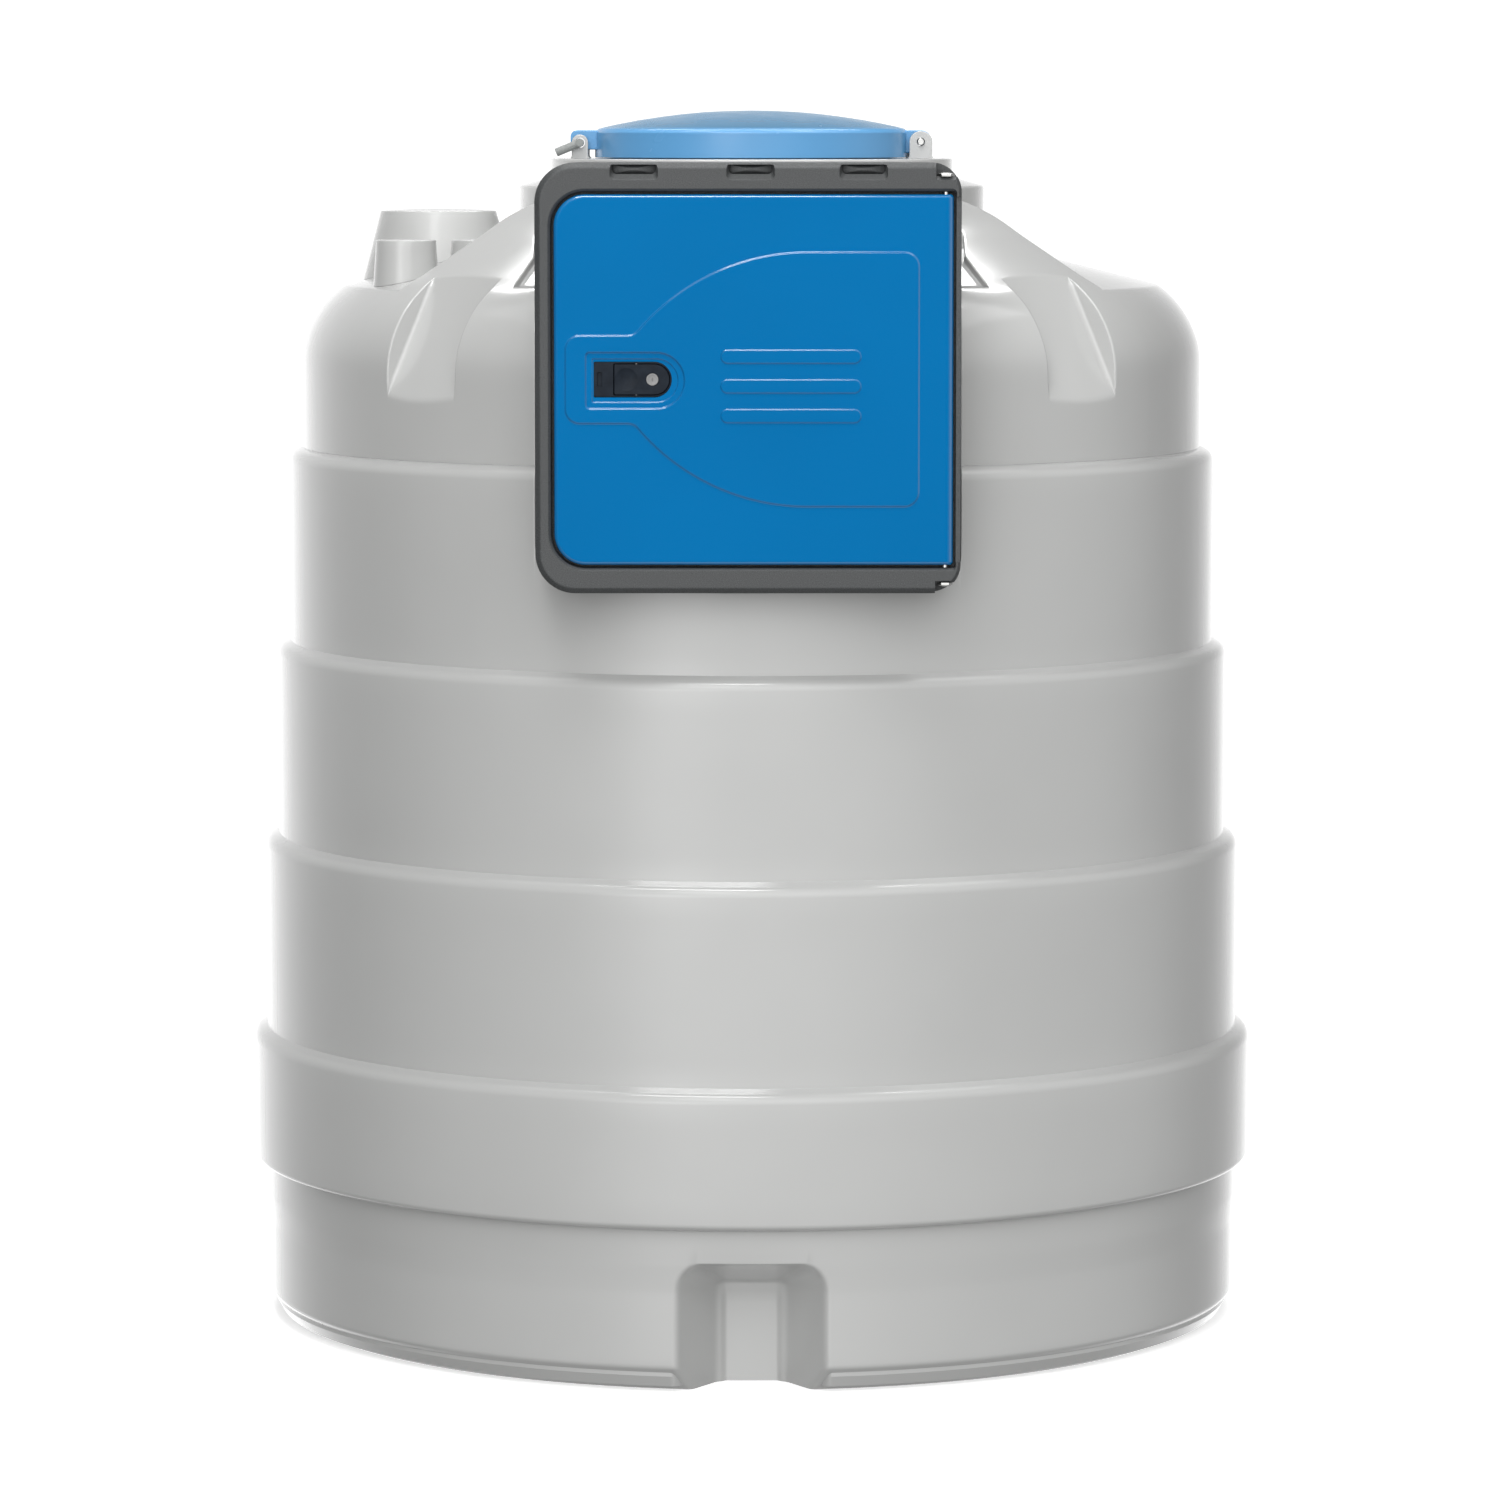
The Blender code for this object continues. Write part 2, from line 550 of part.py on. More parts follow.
def make_door(blue, black, steel):
    z0, z1 = DOOR_Z0, DOOR_Z1
    back = DOOR_FRONT + DOOR_THICK

    def outline(amount):
        """The door's outline; its hinge edge is rounded about the pins."""
        return rounded(DOOR_X0 - amount, HINGE_X, z0 - amount, z1 + amount, 0.055 + amount, 0.0)

    slab = loft_y(
        "door_panel",
        [
            (DOOR_FRONT, outline(-0.007)), (DOOR_FRONT + 0.0025, outline(-0.002)), (DOOR_FRONT + 0.008, outline(0)),
            (back - 0.003, outline(0)), (back, outline(-0.003)),
        ],
        blue,
    )
    # The end slices of the lofted edge would leave the hinge side straight, so a half-round bar closes it.
    edge = rod("edge", (HINGE_X, HINGE_Y, z0 + 0.003), (HINGE_X, HINGE_Y, z1 - 0.003), DOOR_THICK / 2, 24)
    boolean(slab, [edge], "UNION")

    # Raised field: two bows that run from the latch end to a straight panel.
    field = []
    right, half = 0.2935, 0.2226
    for cx, cz, radius, a0, a1, count in (
        (right - 0.026, half - 0.026, 0.026, 0, 90, 4),
        (0.098, half - 0.390, 0.390, 90, 139.6, 9),
        (-0.2172, 0.101, 0.024, -54, -90, 2),
    ):
        for i in range(count + 1):
            angle = math.radians(a0 + (a1 - a0) * i / count)
            field.append((cx + radius * math.cos(angle), cz + radius * math.sin(angle)))
    field.append((-0.3010, 0.0770))
    for i in range(1, 5):
        angle = math.radians(90 + 22.5 * i)
        field.append((-0.3010 + 0.0255 * math.cos(angle), 0.0515 + 0.0255 * math.sin(angle)))
    raised = [(x, LATCH_Z + z) for x, z in field] + [(x, LATCH_Z - z) for x, z in reversed(field)]
    boolean(slab, [prism("raised", raised, DOOR_FRONT - 0.003, DOOR_FRONT + 0.006, "Y")], "UNION")

    # Three plain ribs stiffen the middle of the field.
    for z in (1.748, 1.800, 1.852):
        rib = rounded(-0.0535, 0.1915, z - 0.0115, z + 0.0115, 0.0105, 0.0105, 4)
        boolean(slab, [prism("rib", rib, DOOR_FRONT - 0.0055, DOOR_FRONT + 0.002, "Y")], "UNION")

    def bullet(x0, x1, half_z, steps=8):
        """A flat-ended outline whose right end is a half round."""
        points = [(x0, LATCH_Z + half_z), (x0, LATCH_Z - half_z)]
        for i in range(steps + 1):
            angle = math.radians(-90 + 180 * i / steps)
            points.append((x1 - half_z + half_z * math.cos(angle), LATCH_Z + half_z * math.sin(angle)))
        return points

    boolean(
        slab,
        [
            prism("recess", bullet(-0.289, -0.118, 0.0480), -1.0, DOOR_FRONT + 0.004, "Y"),
            prism("seat", bullet(-0.2766 - GAP, -0.1396 + GAP, 0.0308 + GAP), -1.0, -0.85, "Y"),
            rod("hole", (HINGE_X, HINGE_Y, z1 - 0.022), (HINGE_X, HINGE_Y, z1 + 0.02), 0.0070, 14),
            rod("hole", (HINGE_X, HINGE_Y, z0 + 0.022), (HINGE_X, HINGE_Y, z0 - 0.02), 0.0070, 14),
        ],
    )
    smooth(slab, 25)

    # Latch: a shallow housing set in the door, with a rocking paddle in its front.
    face = DOOR_FRONT + 0.0035
    housing = prism("latch_housing", bullet(-0.2766, -0.1396, 0.0308), face, face + 0.034, "Y", black)
    boolean(housing, [prism("well", bullet(-0.2420, -0.1424, 0.0280), -1.0, face + 0.024, "Y"),
                      box("slot", (-0.2702, -0.2622), (-1.0, face + 0.004), (LATCH_Z - 0.0125, LATCH_Z + 0.0125))])
    smooth(housing)
    paddle = prism("latch_paddle", bullet(-0.2405, -0.1439, 0.0265), face + 0.0005, face + 0.0065, "Y", black)
    boolean(paddle, [rod("dimple", (-0.2193, face - 0.002, LATCH_Z), (-0.2193, face + 0.0025, LATCH_Z), 0.0205, 20),
                     rod("seat", (-0.1738, face - 0.01, LATCH_Z), (-0.1738, face + 0.02, LATCH_Z), 0.0110, 20)])
    smooth(paddle)
    smooth(rod("lock_cylinder", (-0.1738, face + 0.0002, LATCH_Z), (-0.1738, face + 0.0105, LATCH_Z), 0.0107, 20, steel))
    smooth(rod("latch_pivot", (-0.2020, face + 0.0090, LATCH_Z - 0.0277), (-0.2020, face + 0.0090, LATCH_Z + 0.0277), 0.0022, 10, steel))
    # Behind the door: the latch's case, and its bolt drawn back clear of the frame's lip.
    case_y = face + 0.034 + GAP
    box("latch_case", (-0.2760, -0.2150), (case_y, -0.8690), (LATCH_Z - 0.021, LATCH_Z + 0.021), black)
    box("latch_bolt", (-0.3230, -0.2760 - GAP), (-0.8830, -0.8720), (LATCH_Z - 0.012, LATCH_Z + 0.012), steel)


def build():
    clear_scene()
    grey = material("tank_grey", (0.62, 0.62, 0.61), 0.42)
    blue = material("panel_blue", (0.0, 0.19, 0.49), 0.28)
    dark = material("frame_grey", (0.12, 0.13, 0.135), 0.6)
    black = material("latch_black", (0.015, 0.02, 0.03), 0.4)
    steel = material("zinc_steel", (0.55, 0.55, 0.55), 0.3, 1.0)
    make_shell(grey)
    make_manway(grey, blue, steel, dark)
    make_caps(grey)
    make_cabinet(dark, steel, black)
    make_door(blue, black, steel)


build()
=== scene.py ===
"""Looks of the vertical storage tank: moulded shell, roof, manway, caps, cabinet, door and latch.

Metres, +Z up, front towards -Y, +X to the viewer's right.
"""

import json
import math

import bmesh
import bpy
import numpy as np
from mathutils import Matrix, Vector


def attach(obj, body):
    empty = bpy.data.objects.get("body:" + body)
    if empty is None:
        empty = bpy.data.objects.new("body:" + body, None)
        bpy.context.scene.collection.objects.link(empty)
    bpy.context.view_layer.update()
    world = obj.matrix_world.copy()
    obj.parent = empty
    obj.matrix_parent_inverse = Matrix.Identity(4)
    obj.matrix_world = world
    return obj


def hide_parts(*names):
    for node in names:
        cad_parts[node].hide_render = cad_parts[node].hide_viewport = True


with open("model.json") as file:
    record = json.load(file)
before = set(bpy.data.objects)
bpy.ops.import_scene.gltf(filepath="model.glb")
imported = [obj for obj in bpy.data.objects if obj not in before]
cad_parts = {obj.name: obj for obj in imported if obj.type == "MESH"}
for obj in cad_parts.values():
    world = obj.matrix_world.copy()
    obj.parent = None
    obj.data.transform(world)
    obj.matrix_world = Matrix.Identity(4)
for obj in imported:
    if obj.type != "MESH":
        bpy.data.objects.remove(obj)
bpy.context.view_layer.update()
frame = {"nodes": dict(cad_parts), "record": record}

WALL = 0.010
GAP = 0.0003
R_GROUND, R_BASE, R_BELT, BELT_Z = 0.875, 0.922, 0.950, 0.296
STEP_R, STEP_ZS = 0.025, (0.553, 0.9195, 1.284, 1.650)
SPLIT = STEP_ZS[-1]
TURRET_R = 0.440
POCKET_DEPTH = 0.014
NECK_R, NECK_Z0, NECK_Z1, MANWAY_R, COLLAR_Z = 0.380, 2.157, 2.192, 0.252, 2.214
LAND_SLOPE, LAND_R, LAND_Z = 0.252, 0.770, 1.954
SCOOP_TOP, SCOOP_FOOT, SCOOP_HALF = (0.727, 1.983), (0.850, 1.759), 0.089
RECESS_X0, RECESS_X1, RECESS_Y, RECESS_Z, LEDGE_Z = -0.3855, 0.3735, -0.475, 1.4335, 1.9645
RECESS_R_LEFT, RECESS_R_RIGHT = 0.0735, 0.056
CAB_X0, CAB_X1, CAB_Z0, CAB_Z1 = -0.3800, 0.3676, 1.4358, 2.1903
CAB_FRONT, FRAME_BACK = -0.950, -0.888
DOOR_X0, DOOR_X1, DOOR_Z0, DOOR_Z1 = -0.3465, 0.354, 1.486, 2.135
DOOR_FRONT, DOOR_BACK = -0.952, -0.924
HINGE_X, HINGE_Y = 0.340, -0.938
LATCH_Z = 1.8117
LID_HINGE_X, LID_HINGE_Z, LOCK_X, LOCK_Z = 0.319, 2.2235, -0.323, 2.2215


# ---------------------------------------------------------------- materials
def new_material(name):
    made = bpy.data.materials.new(name)
    made.use_nodes = True
    tree = made.node_tree
    shader = tree.nodes["Principled BSDF"]
    return made, tree, shader


def coords(tree, scale=(1, 1, 1)):
    place = tree.nodes.new("ShaderNodeTexCoord")
    mapping = tree.nodes.new("ShaderNodeMapping")
    mapping.inputs["Scale"].default_value = scale
    tree.links.new(place.outputs["Object"], mapping.inputs["Vector"])
    return mapping.outputs["Vector"]


def noise(tree, where, scale, detail=3.0, roughness=0.5):
    made = tree.nodes.new("ShaderNodeTexNoise")
    made.inputs["Scale"].default_value = scale
    made.inputs["Detail"].default_value = detail
    made.inputs["Roughness"].default_value = roughness
    tree.links.new(where, made.inputs["Vector"])
    return made.outputs["Fac"]


def ramp(tree, value, stops):
    made = tree.nodes.new("ShaderNodeValToRGB")
    band = made.color_ramp
    while len(band.elements) > len(stops):
        band.elements.remove(band.elements[-1])
    while len(band.elements) < len(stops):
        band.elements.new(0.5)
    for element, (at, colour) in zip(band.elements, stops):
        element.position = at
        element.color = (*colour, 1.0) if len(colour) == 3 else colour
    tree.links.new(value, made.inputs["Fac"])
    return made.outputs["Color"]


def spread(tree, value, low, high):
    made = tree.nodes.new("ShaderNodeMapRange")
    made.inputs["From Min"].default_value = 0.3
    made.inputs["From Max"].default_value = 0.7
    made.inputs["To Min"].default_value = low
    made.inputs["To Max"].default_value = high
    tree.links.new(value, made.inputs["Value"])
    return made.outputs["Result"]


def bump(tree, shader, layers):
    """Adds fine relief: each layer is (height output, strength, distance in metres)."""
    last = None
    for value, strength, distance in layers:
        made = tree.nodes.new("ShaderNodeBump")
        made.inputs["Strength"].default_value = strength
        made.inputs["Distance"].default_value = distance
        tree.links.new(value, made.inputs["Height"])
        if last is not None:
            tree.links.new(last, made.inputs["Normal"])
        last = made.outputs["Normal"]
    tree.links.new(last, shader.inputs["Normal"])


def scaled(colour, factor):
    return tuple(c * factor for c in colour)


def moulded_grey():
    made, tree, shader = new_material("tank_plastic")
    where = coords(tree)
    base = (0.420, 0.4225, 0.417)
    patches = noise(tree, where, 2.2, 3.0, 0.55)
    tree.links.new(
        ramp(tree, patches, [(0.30, scaled(base, 0.975)), (0.50, base), (0.72, scaled(base, 1.02))]),
        shader.inputs["Base Color"],
    )
    tree.links.new(spread(tree, noise(tree, where, 9.0, 2.0), 0.14, 0.17), shader.inputs["Roughness"])
    shader.inputs["Specular IOR Level"].default_value = 0.5
    shader.inputs["Subsurface Weight"].default_value = 0.0
    bump(
        tree, shader,
        [(noise(tree, where, 7.0, 2.0), 0.10, 0.004), (noise(tree, where, 420.0, 2.0), 0.12, 0.0004)],
    )
    return made


def gloss_blue(name, base, rough=(0.20, 0.27), fine=0.10, specular=0.5, shaded_top=None):
    """Glossy coloured plastic. The last argument is (height, colour): painted shade, a darker colour on everything
    higher than that.
    """
    made, tree, shader = new_material(name)
    where = coords(tree)
    colour = ramp(tree, noise(tree, where, 3.0, 2.0), [(0.3, scaled(base, 0.97)), (0.7, scaled(base, 1.03))])
    # Painted shade: everything above the given height gets a darker colour that stands in for how dim the top looks
    # under the light.
    if shaded_top is not None:
        axes = tree.nodes.new("ShaderNodeSeparateXYZ")
        tree.links.new(where, axes.inputs["Vector"])
        share = tree.nodes.new("ShaderNodeMapRange")
        share.inputs["From Min"].default_value = shaded_top[0] - 0.002
        share.inputs["From Max"].default_value = shaded_top[0] + 0.004
        tree.links.new(axes.outputs["Z"], share.inputs["Value"])
        blend = tree.nodes.new("ShaderNodeMix")
        blend.data_type = "RGBA"
        tree.links.new(share.outputs["Result"], blend.inputs[0])
        tree.links.new(colour, blend.inputs[6])
        blend.inputs[7].default_value = (*shaded_top[1], 1.0)
        colour = blend.outputs[2]
    tree.links.new(colour, shader.inputs["Base Color"])
    shader.inputs["Specular IOR Level"].default_value = specular
    tree.links.new(spread(tree, noise(tree, where, 14.0, 2.0), *rough), shader.inputs["Roughness"])
    bump(tree, shader, [(noise(tree, where, 16.0, 2.0), 0.06, 0.002), (noise(tree, where, 700.0, 2.0), fine, 0.0002)])
    return made


def edge_gloss(mat, low, high, ior, rough):
    """A clear coat that grows where the surface turns away from the eye, as on rounded edges."""
    tree = mat.node_tree
    shader = tree.nodes["Principled BSDF"]
    facing = tree.nodes.new("ShaderNodeLayerWeight")
    facing.inputs["Blend"].default_value = 0.5
    span = tree.nodes.new("ShaderNodeMapRange")
    span.inputs["From Min"].default_value = low
    span.inputs["From Max"].default_value = high
    span.inputs["To Min"].default_value = 0.0
    span.inputs["To Max"].default_value = 1.0
    tree.links.new(facing.outputs["Facing"], span.inputs["Value"])
    tree.links.new(span.outputs["Result"], shader.inputs["Coat Weight"])
    shader.inputs["Coat Roughness"].default_value = rough
    shader.inputs["Coat IOR"].default_value = ior


def grained_dark():
    made, tree, shader = new_material("dark_plastic")
    where = coords(tree)
    base = (0.048, 0.0510, 0.0525)
    speck = noise(tree, where, 620.0, 2.0, 0.6)
    tree.links.new(
        ramp(tree, speck, [(0.36, scaled(base, 0.55)), (0.47, scaled(base, 0.93)), (0.56, base), (0.66, scaled(base, 1.45))]),
        shader.inputs["Base Color"],
    )
    tree.links.new(spread(tree, noise(tree, where, 240.0, 2.0), 0.46, 0.60), shader.inputs["Roughness"])
    bump(tree, shader, [(noise(tree, where, 520.0, 3.0), 0.55, 0.0005)])
    return made


def satin_black():
    made, tree, shader = new_material("latch_plastic")
    where = coords(tree)
    tree.links.new(
        ramp(tree, noise(tree, where, 60.0, 2.0), [(0.3, (0.0065, 0.010, 0.016)), (0.7, (0.011, 0.016, 0.024))]),
        shader.inputs["Base Color"],
    )
    shader.inputs["Specular IOR Level"].default_value = 0.10
    tree.links.new(spread(tree, noise(tree, where, 90.0, 2.0), 0.30, 0.40), shader.inputs["Roughness"])
    bump(tree, shader, [(noise(tree, where, 1500.0, 2.0), 0.25, 0.0001)])
    return made


def plated_steel():
    made, tree, shader = new_material("zinc_steel")
    where = coords(tree)
    tree.links.new(
        ramp(tree, noise(tree, where, 90.0, 3.0), [(0.3, (0.44, 0.44, 0.43)), (0.7, (0.60, 0.60, 0.59))]),
        shader.inputs["Base Color"],
    )
    shader.inputs["Metallic"].default_value = 1.0
    tree.links.new(spread(tree, noise(tree, where, 160.0, 2.0), 0.22, 0.36), shader.inputs["Roughness"])
    bump(tree, shader, [(noise(tree, where, 900.0, 2.0), 0.2, 0.0001)])
    return made


def plain_grey(name, base, rough):
    made, tree, shader = new_material(name)
    where = coords(tree)
    tree.links.new(
        ramp(tree, noise(tree, where, 80.0, 2.0), [(0.3, scaled(base, 0.92)), (0.7, scaled(base, 1.08))]),
        shader.inputs["Base Color"],
    )
    tree.links.new(spread(tree, noise(tree, where, 200.0, 2.0), rough - 0.05, rough + 0.05), shader.inputs["Roughness"])
    bump(tree, shader, [(noise(tree, where, 900.0, 2.0), 0.2, 0.0001)])
    return made


GREY = moulded_grey()
BLUE = gloss_blue("blue_plastic", (0.0001, 0.131, 0.345), (0.12, 0.15), 0.05, specular=0.03)
edge_gloss(GREY, 0.18, 0.45, 1.38, 0.17)
edge_gloss(BLUE, 0.04, 0.16, 2.00, 0.08)
# The lid's dome above its skirt gets a darker colour as painted shade; the skirt keeps the plain blue.
LID_BLUE = gloss_blue("lid_plastic", (0.095, 0.275, 0.500), (0.20, 0.28), 0.06, 0.40, (2.2475, (0.036, 0.150, 0.272)))
DARK = grained_dark()
BLACK = satin_black()
STEEL = plated_steel()
PIN_GREY = plain_grey("pin_grey", (0.20, 0.21, 0.205), 0.45)
LOCK_GREY = plain_grey("lock_grey", (0.20, 0.20, 0.20), 0.38)


# ---------------------------------------------------------------- mesh tools
def finish_mesh(name, mesh, mat, body, nodes=(), sharp=35.0):
    mesh.validate(verbose=False)
    mesh.update()
    mesh.shade_smooth()
    if sharp:
        mesh.set_sharp_from_angle(angle=math.radians(sharp))
    if not mesh.materials:
        mesh.materials.append(mat)
    obj = bpy.data.objects.new(name, mesh)
    bpy.context.scene.collection.objects.link(obj)
    if body:
        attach(obj, body)
        if nodes:
            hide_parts(*nodes)
    return obj


def mesh_from(name, co, faces):
    """Mesh from an (n, 3) array and a list of (m, 3) or (m, 4) index arrays."""
    mesh = bpy.data.meshes.new(name)
    co = np.asarray(co, np.float32)
    mesh.vertices.add(len(co))
    mesh.vertices.foreach_set("co", co.ravel())
    loops = np.concatenate([f.ravel() for f in faces]).astype(np.int32)
    totals = np.concatenate([np.full(len(f), f.shape[1], np.int32) for f in faces])
    starts = np.concatenate([[0], np.cumsum(totals)[:-1]]).astype(np.int32)
    mesh.loops.add(len(loops))
    mesh.loops.foreach_set("vertex_index", loops)
    mesh.polygons.add(len(totals))
    mesh.polygons.foreach_set("loop_start", starts)
    mesh.polygons.foreach_set("loop_total", totals)
    mesh.update(calc_edges=True)
    return mesh


def outward(co, faces):
    """Turns every face round if the closed mesh is inside out."""
    total = 0.0
    for f in faces:
        for k in range(1, f.shape[1] - 1):
            a, b, c = co[f[:, 0]], co[f[:, k]], co[f[:, k + 1]]
            total += np.einsum("ij,ij->i", a, np.cross(b, c)).sum()
    return faces if total > 0 else [f[:, ::-1] for f in faces]


def wrap_rows(rows, poles=(None, None), loop=False):
    """Joins closed rows of equal count into one closed surface. poles are the end points of an open stack."""
    rows = np.asarray(rows, float)
    count, per = rows.shape[0], rows.shape[1]
    co = rows.reshape(-1, 3)
    index = np.arange(count * per).reshape(count, per)
    low, high = index[:-1], index[1:]
    if loop:
        low, high = index, np.roll(index, -1, 0)
    quads = np.stack([low, np.roll(low, -1, 1), np.roll(high, -1, 1), high], -1).reshape(-1, 4)
    faces = [quads]
    extra = []
    for pole, row, turn in ((poles[0], index[0], True), (poles[1], index[-1], False)):
        if pole is None:
            continue
        at = len(co) + len(extra)
        extra.append(pole)
        fan = np.stack([row, np.roll(row, -1), np.full(per, at)], -1)
        faces.append(fan[:, ::-1] if turn else fan)
    if extra:
        co = np.concatenate([co, np.array(extra, float)])
    return co, outward(co, faces)


def fillet_line(points, steps=6, closed=False):
    """Rounds a line. points are (a, b) or (a, b, radius); the radius is kept under half of each side."""
    pts = [np.array(p[:2], float) for p in points]
    radii = [p[2] if len(p) > 2 else 0.0 for p in points]
    n = len(pts)
    out = []
    for i in range(n):
        if radii[i] <= 0 or (not closed and i in (0, n - 1)):
            out.append(pts[i])
            continue
        a, b, c = pts[i - 1], pts[i], pts[(i + 1) % n]
        u, w = a - b, c - b
        lu, lw = np.linalg.norm(u), np.linalg.norm(w)
        u, w = u / lu, w / lw
        angle = math.acos(max(-1.0, min(1.0, float(u @ w))))
        if angle > math.pi - 1e-4:
            out.append(b)
            continue
        reach = min(radii[i] / math.tan(angle / 2), 0.495 * lu, 0.495 * lw)
        radius = reach * math.tan(angle / 2)
        middle = b + (u + w) / np.linalg.norm(u + w) * radius / math.sin(angle / 2)
        p0, p1 = b + u * reach, b + w * reach
        a0 = math.atan2(*(p0 - middle)[::-1])
        turn = math.atan2(*(p1 - middle)[::-1]) - a0
        turn = (turn + math.pi) % (2 * math.pi) - math.pi
        count = max(2, int(round(steps * abs(turn) / (math.pi / 2))))
        for k in range(count + 1):
            t = a0 + turn * k / count
            out.append(middle + radius * np.array([math.cos(t), math.sin(t)]))
    return np.array(out)


def lathe(name, profile, segments, mat, body, nodes=(), closed=True, centre=(0.0, 0.0), sharp=35.0, shape=None):
    """Turns a (radius, z) line about an upright axis. A closed line gives a ring; an open one ends on the axis."""
    profile = np.asarray(profile, float)
    turn = 2 * math.pi * np.arange(segments) / segments
    poles = (None, None)
    body_line = profile
    if not closed:
        poles = ((centre[0], centre[1], profile[0][1]), (centre[0], centre[1], profile[-1][1]))
        body_line = profile[1:-1]
    rows = np.stack(
        [
            centre[0] + body_line[:, 0:1] * np.cos(turn), centre[1] + body_line[:, 0:1] * np.sin(turn),
            np.repeat(body_line[:, 1:2], segments, 1),
        ],
        -1,
    )
    if shape is not None:
        rows = shape(rows)
    co, faces = wrap_rows(rows, poles, loop=closed)
    return finish_mesh(name, mesh_from(name, co, faces), mat, body, nodes, sharp)


def rounded(x0, x1, z0, z1, left, right, steps=10, left_low=None, right_low=None):
    """A rounded rectangle as (x, z) points, counter-clockwise from its right side."""
    left_low = left if left_low is None else left_low
    right_low = right if right_low is None else right_low
    points = []
    for cx, cz, radius, start in (
        (x1 - right, z1 - right, right, 0), (x0 + left, z1 - left, left, 90),
        (x0 + left_low, z0 + left_low, left_low, 180), (x1 - right_low, z0 + right_low, right_low, 270),
    ):
        for i in range(steps + 1):
            angle = math.radians(start + 90 * i / steps)
            points.append((cx + radius * math.cos(angle), cz + radius * math.sin(angle)))
    return np.array(points)


def loft(name, rings, mat, body, slot, nodes=(), loop=False, sharp=35.0, caps=True):
    """Joins outlines [(y, points)...] of equal count along Y, closed at both ends or end to end."""
    rows = np.array([np.stack([p[:, 0], np.full(len(p), y), p[:, 1]], -1) for y, p in rings])
    co, faces = wrap_rows(rows, loop=loop)
    if not loop and caps:
        per = rows.shape[1]
        faces = [faces[0]]
        total = 0
        mesh_faces = [faces[0]]
        first, last = np.arange(per), np.arange(per) + (len(rows) - 1) * per
        mesh_faces += [first[None, ::-1], last[None, :]]
        # n-gon ends are given the turn that matches the sides
        a = closed_volume(co, mesh_faces)
        b = closed_volume(co, [mesh_faces[0], first[None, :], last[None, ::-1]])
        side = mesh_faces[0]
        options = [
            [side, first[None, ::-1], last[None, :]], [side, first[None, :], last[None, ::-1]],
        ]
        faces = options[0] if shared_turns(options[0], per) else options[1]
        if closed_volume(co, faces) < 0:
            faces = [f[:, ::-1] for f in faces]
    return finish_mesh(name, mesh_from(name, co, faces), mat, body, nodes, sharp)


def closed_volume(co, faces):
    total = 0.0
    for f in faces:
        for k in range(1, f.shape[1] - 1):
            total += np.einsum("ij,ij->i", co[f[:, 0]], np.cross(co[f[:, k]], co[f[:, k + 1]])).sum()
    return total / 6


def shared_turns(faces, per):
    """True if the first end's edge runs against the side faces that share it."""
    side, first = faces[0], faces[1][0]
    edges = set(zip(side.ravel().tolist(), np.roll(side, -1, 1).ravel().tolist()))
    return (int(first[0]), int(first[1])) not in edges


def boolean(target, cutter, operation="DIFFERENCE", keep=False):
    modifier = target.modifiers.new("cut", "BOOLEAN")
    modifier.operation = operation
    modifier.solver = "EXACT"
    modifier.object = cutter
    graph = bpy.context.evaluated_depsgraph_get()
    result = bpy.data.meshes.new_from_object(target.evaluated_get(graph))
    target.modifiers.remove(modifier)
    old = target.data
    target.data = result
    bpy.data.meshes.remove(old)
    if not keep:
        bpy.data.objects.remove(cutter, do_unlink=True)
    return target


def reshade(obj, degrees=35.0):
    obj.data.shade_smooth()
    obj.data.set_sharp_from_angle(angle=math.radians(degrees))
    return obj


def cutter_box(x, y, z):
    bm = bmesh.new()
    bmesh.ops.create_cube(
        bm, size=1.0,
        matrix=Matrix.Translation(((x[0] + x[1]) / 2, (y[0] + y[1]) / 2, (z[0] + z[1]) / 2))
        @ Matrix.Diagonal((x[1] - x[0], y[1] - y[0], z[1] - z[0], 1.0)),
    )
    mesh = bpy.data.meshes.new("cutter")
    bm.to_mesh(mesh)
    bm.free()
    obj = bpy.data.objects.new("cutter", mesh)
    bpy.context.scene.collection.objects.link(obj)
    return obj


# ---------------------------------------------------------------- shell
def smin(a, b, k):
    h = np.clip(0.5 + 0.5 * (b - a) / k, 0, 1)
    return b * (1 - h) + a * h - k * h * (1 - h)


def smax(a, b, k):
    return -smin(-a, -b, k)


def step01(x, a, b):
    t = np.clip((x - a) / (b - a), 0, 1)
    return t * t * (3 - 2 * t)


def wall_drop(e, depth, rim, foot):
    """Depth below the surface at distance e outside a wall line: a rounded rim, an upright wall and a rounded foot."""
    share = np.minimum(1.0, depth / (rim + foot))
    rim, foot = np.maximum(rim * share, 1e-9), np.maximum(foot * share, 1e-9)
    out = rim - np.sqrt(np.maximum(rim**2 - np.clip(rim - e, 0, rim) ** 2, 0))
    inn = depth - (foot - np.sqrt(np.maximum(foot**2 - np.clip(foot + e, 0, foot) ** 2, 0)))
    return np.where(e >= 0, np.where(e < rim, out, 0.0), inn)


def refine(line, spacing):
    """Adds points on straight runs so that no step is longer than spacing(r, z)."""
    out = [line[0]]
    for a, b in zip(line, line[1:]):
        length = float(np.hypot(*(b - a)))
        parts = max(1, int(math.ceil(length / spacing((a[0] + b[0]) / 2, (a[1] + b[1]) / 2))))
        if parts == 1:
            out.append(b)
            continue
        for k in range(1, parts + 1):
            out.append(a + (b - a) * k / parts)
    return np.array(out)


def insert_z(line, zs):
    """Adds points at given heights on a line that rises."""
    out = [line[0]]
    for a, b in zip(line, line[1:]):
        for z in sorted(zs):
            if a[1] + 1e-5 < z < b[1] - 1e-5:
                out.append(a + (b - a) * (z - a[1]) / (b[1] - a[1]))
        out.append(b)
    return np.array(out)


EDGE_OFFS = [-0.003, -0.0012, -0.0004, 0.0, 0.0003, 0.0008, 0.0015, 0.0023, 0.0031, 0.0045]
RECESS_RIM = 0.003


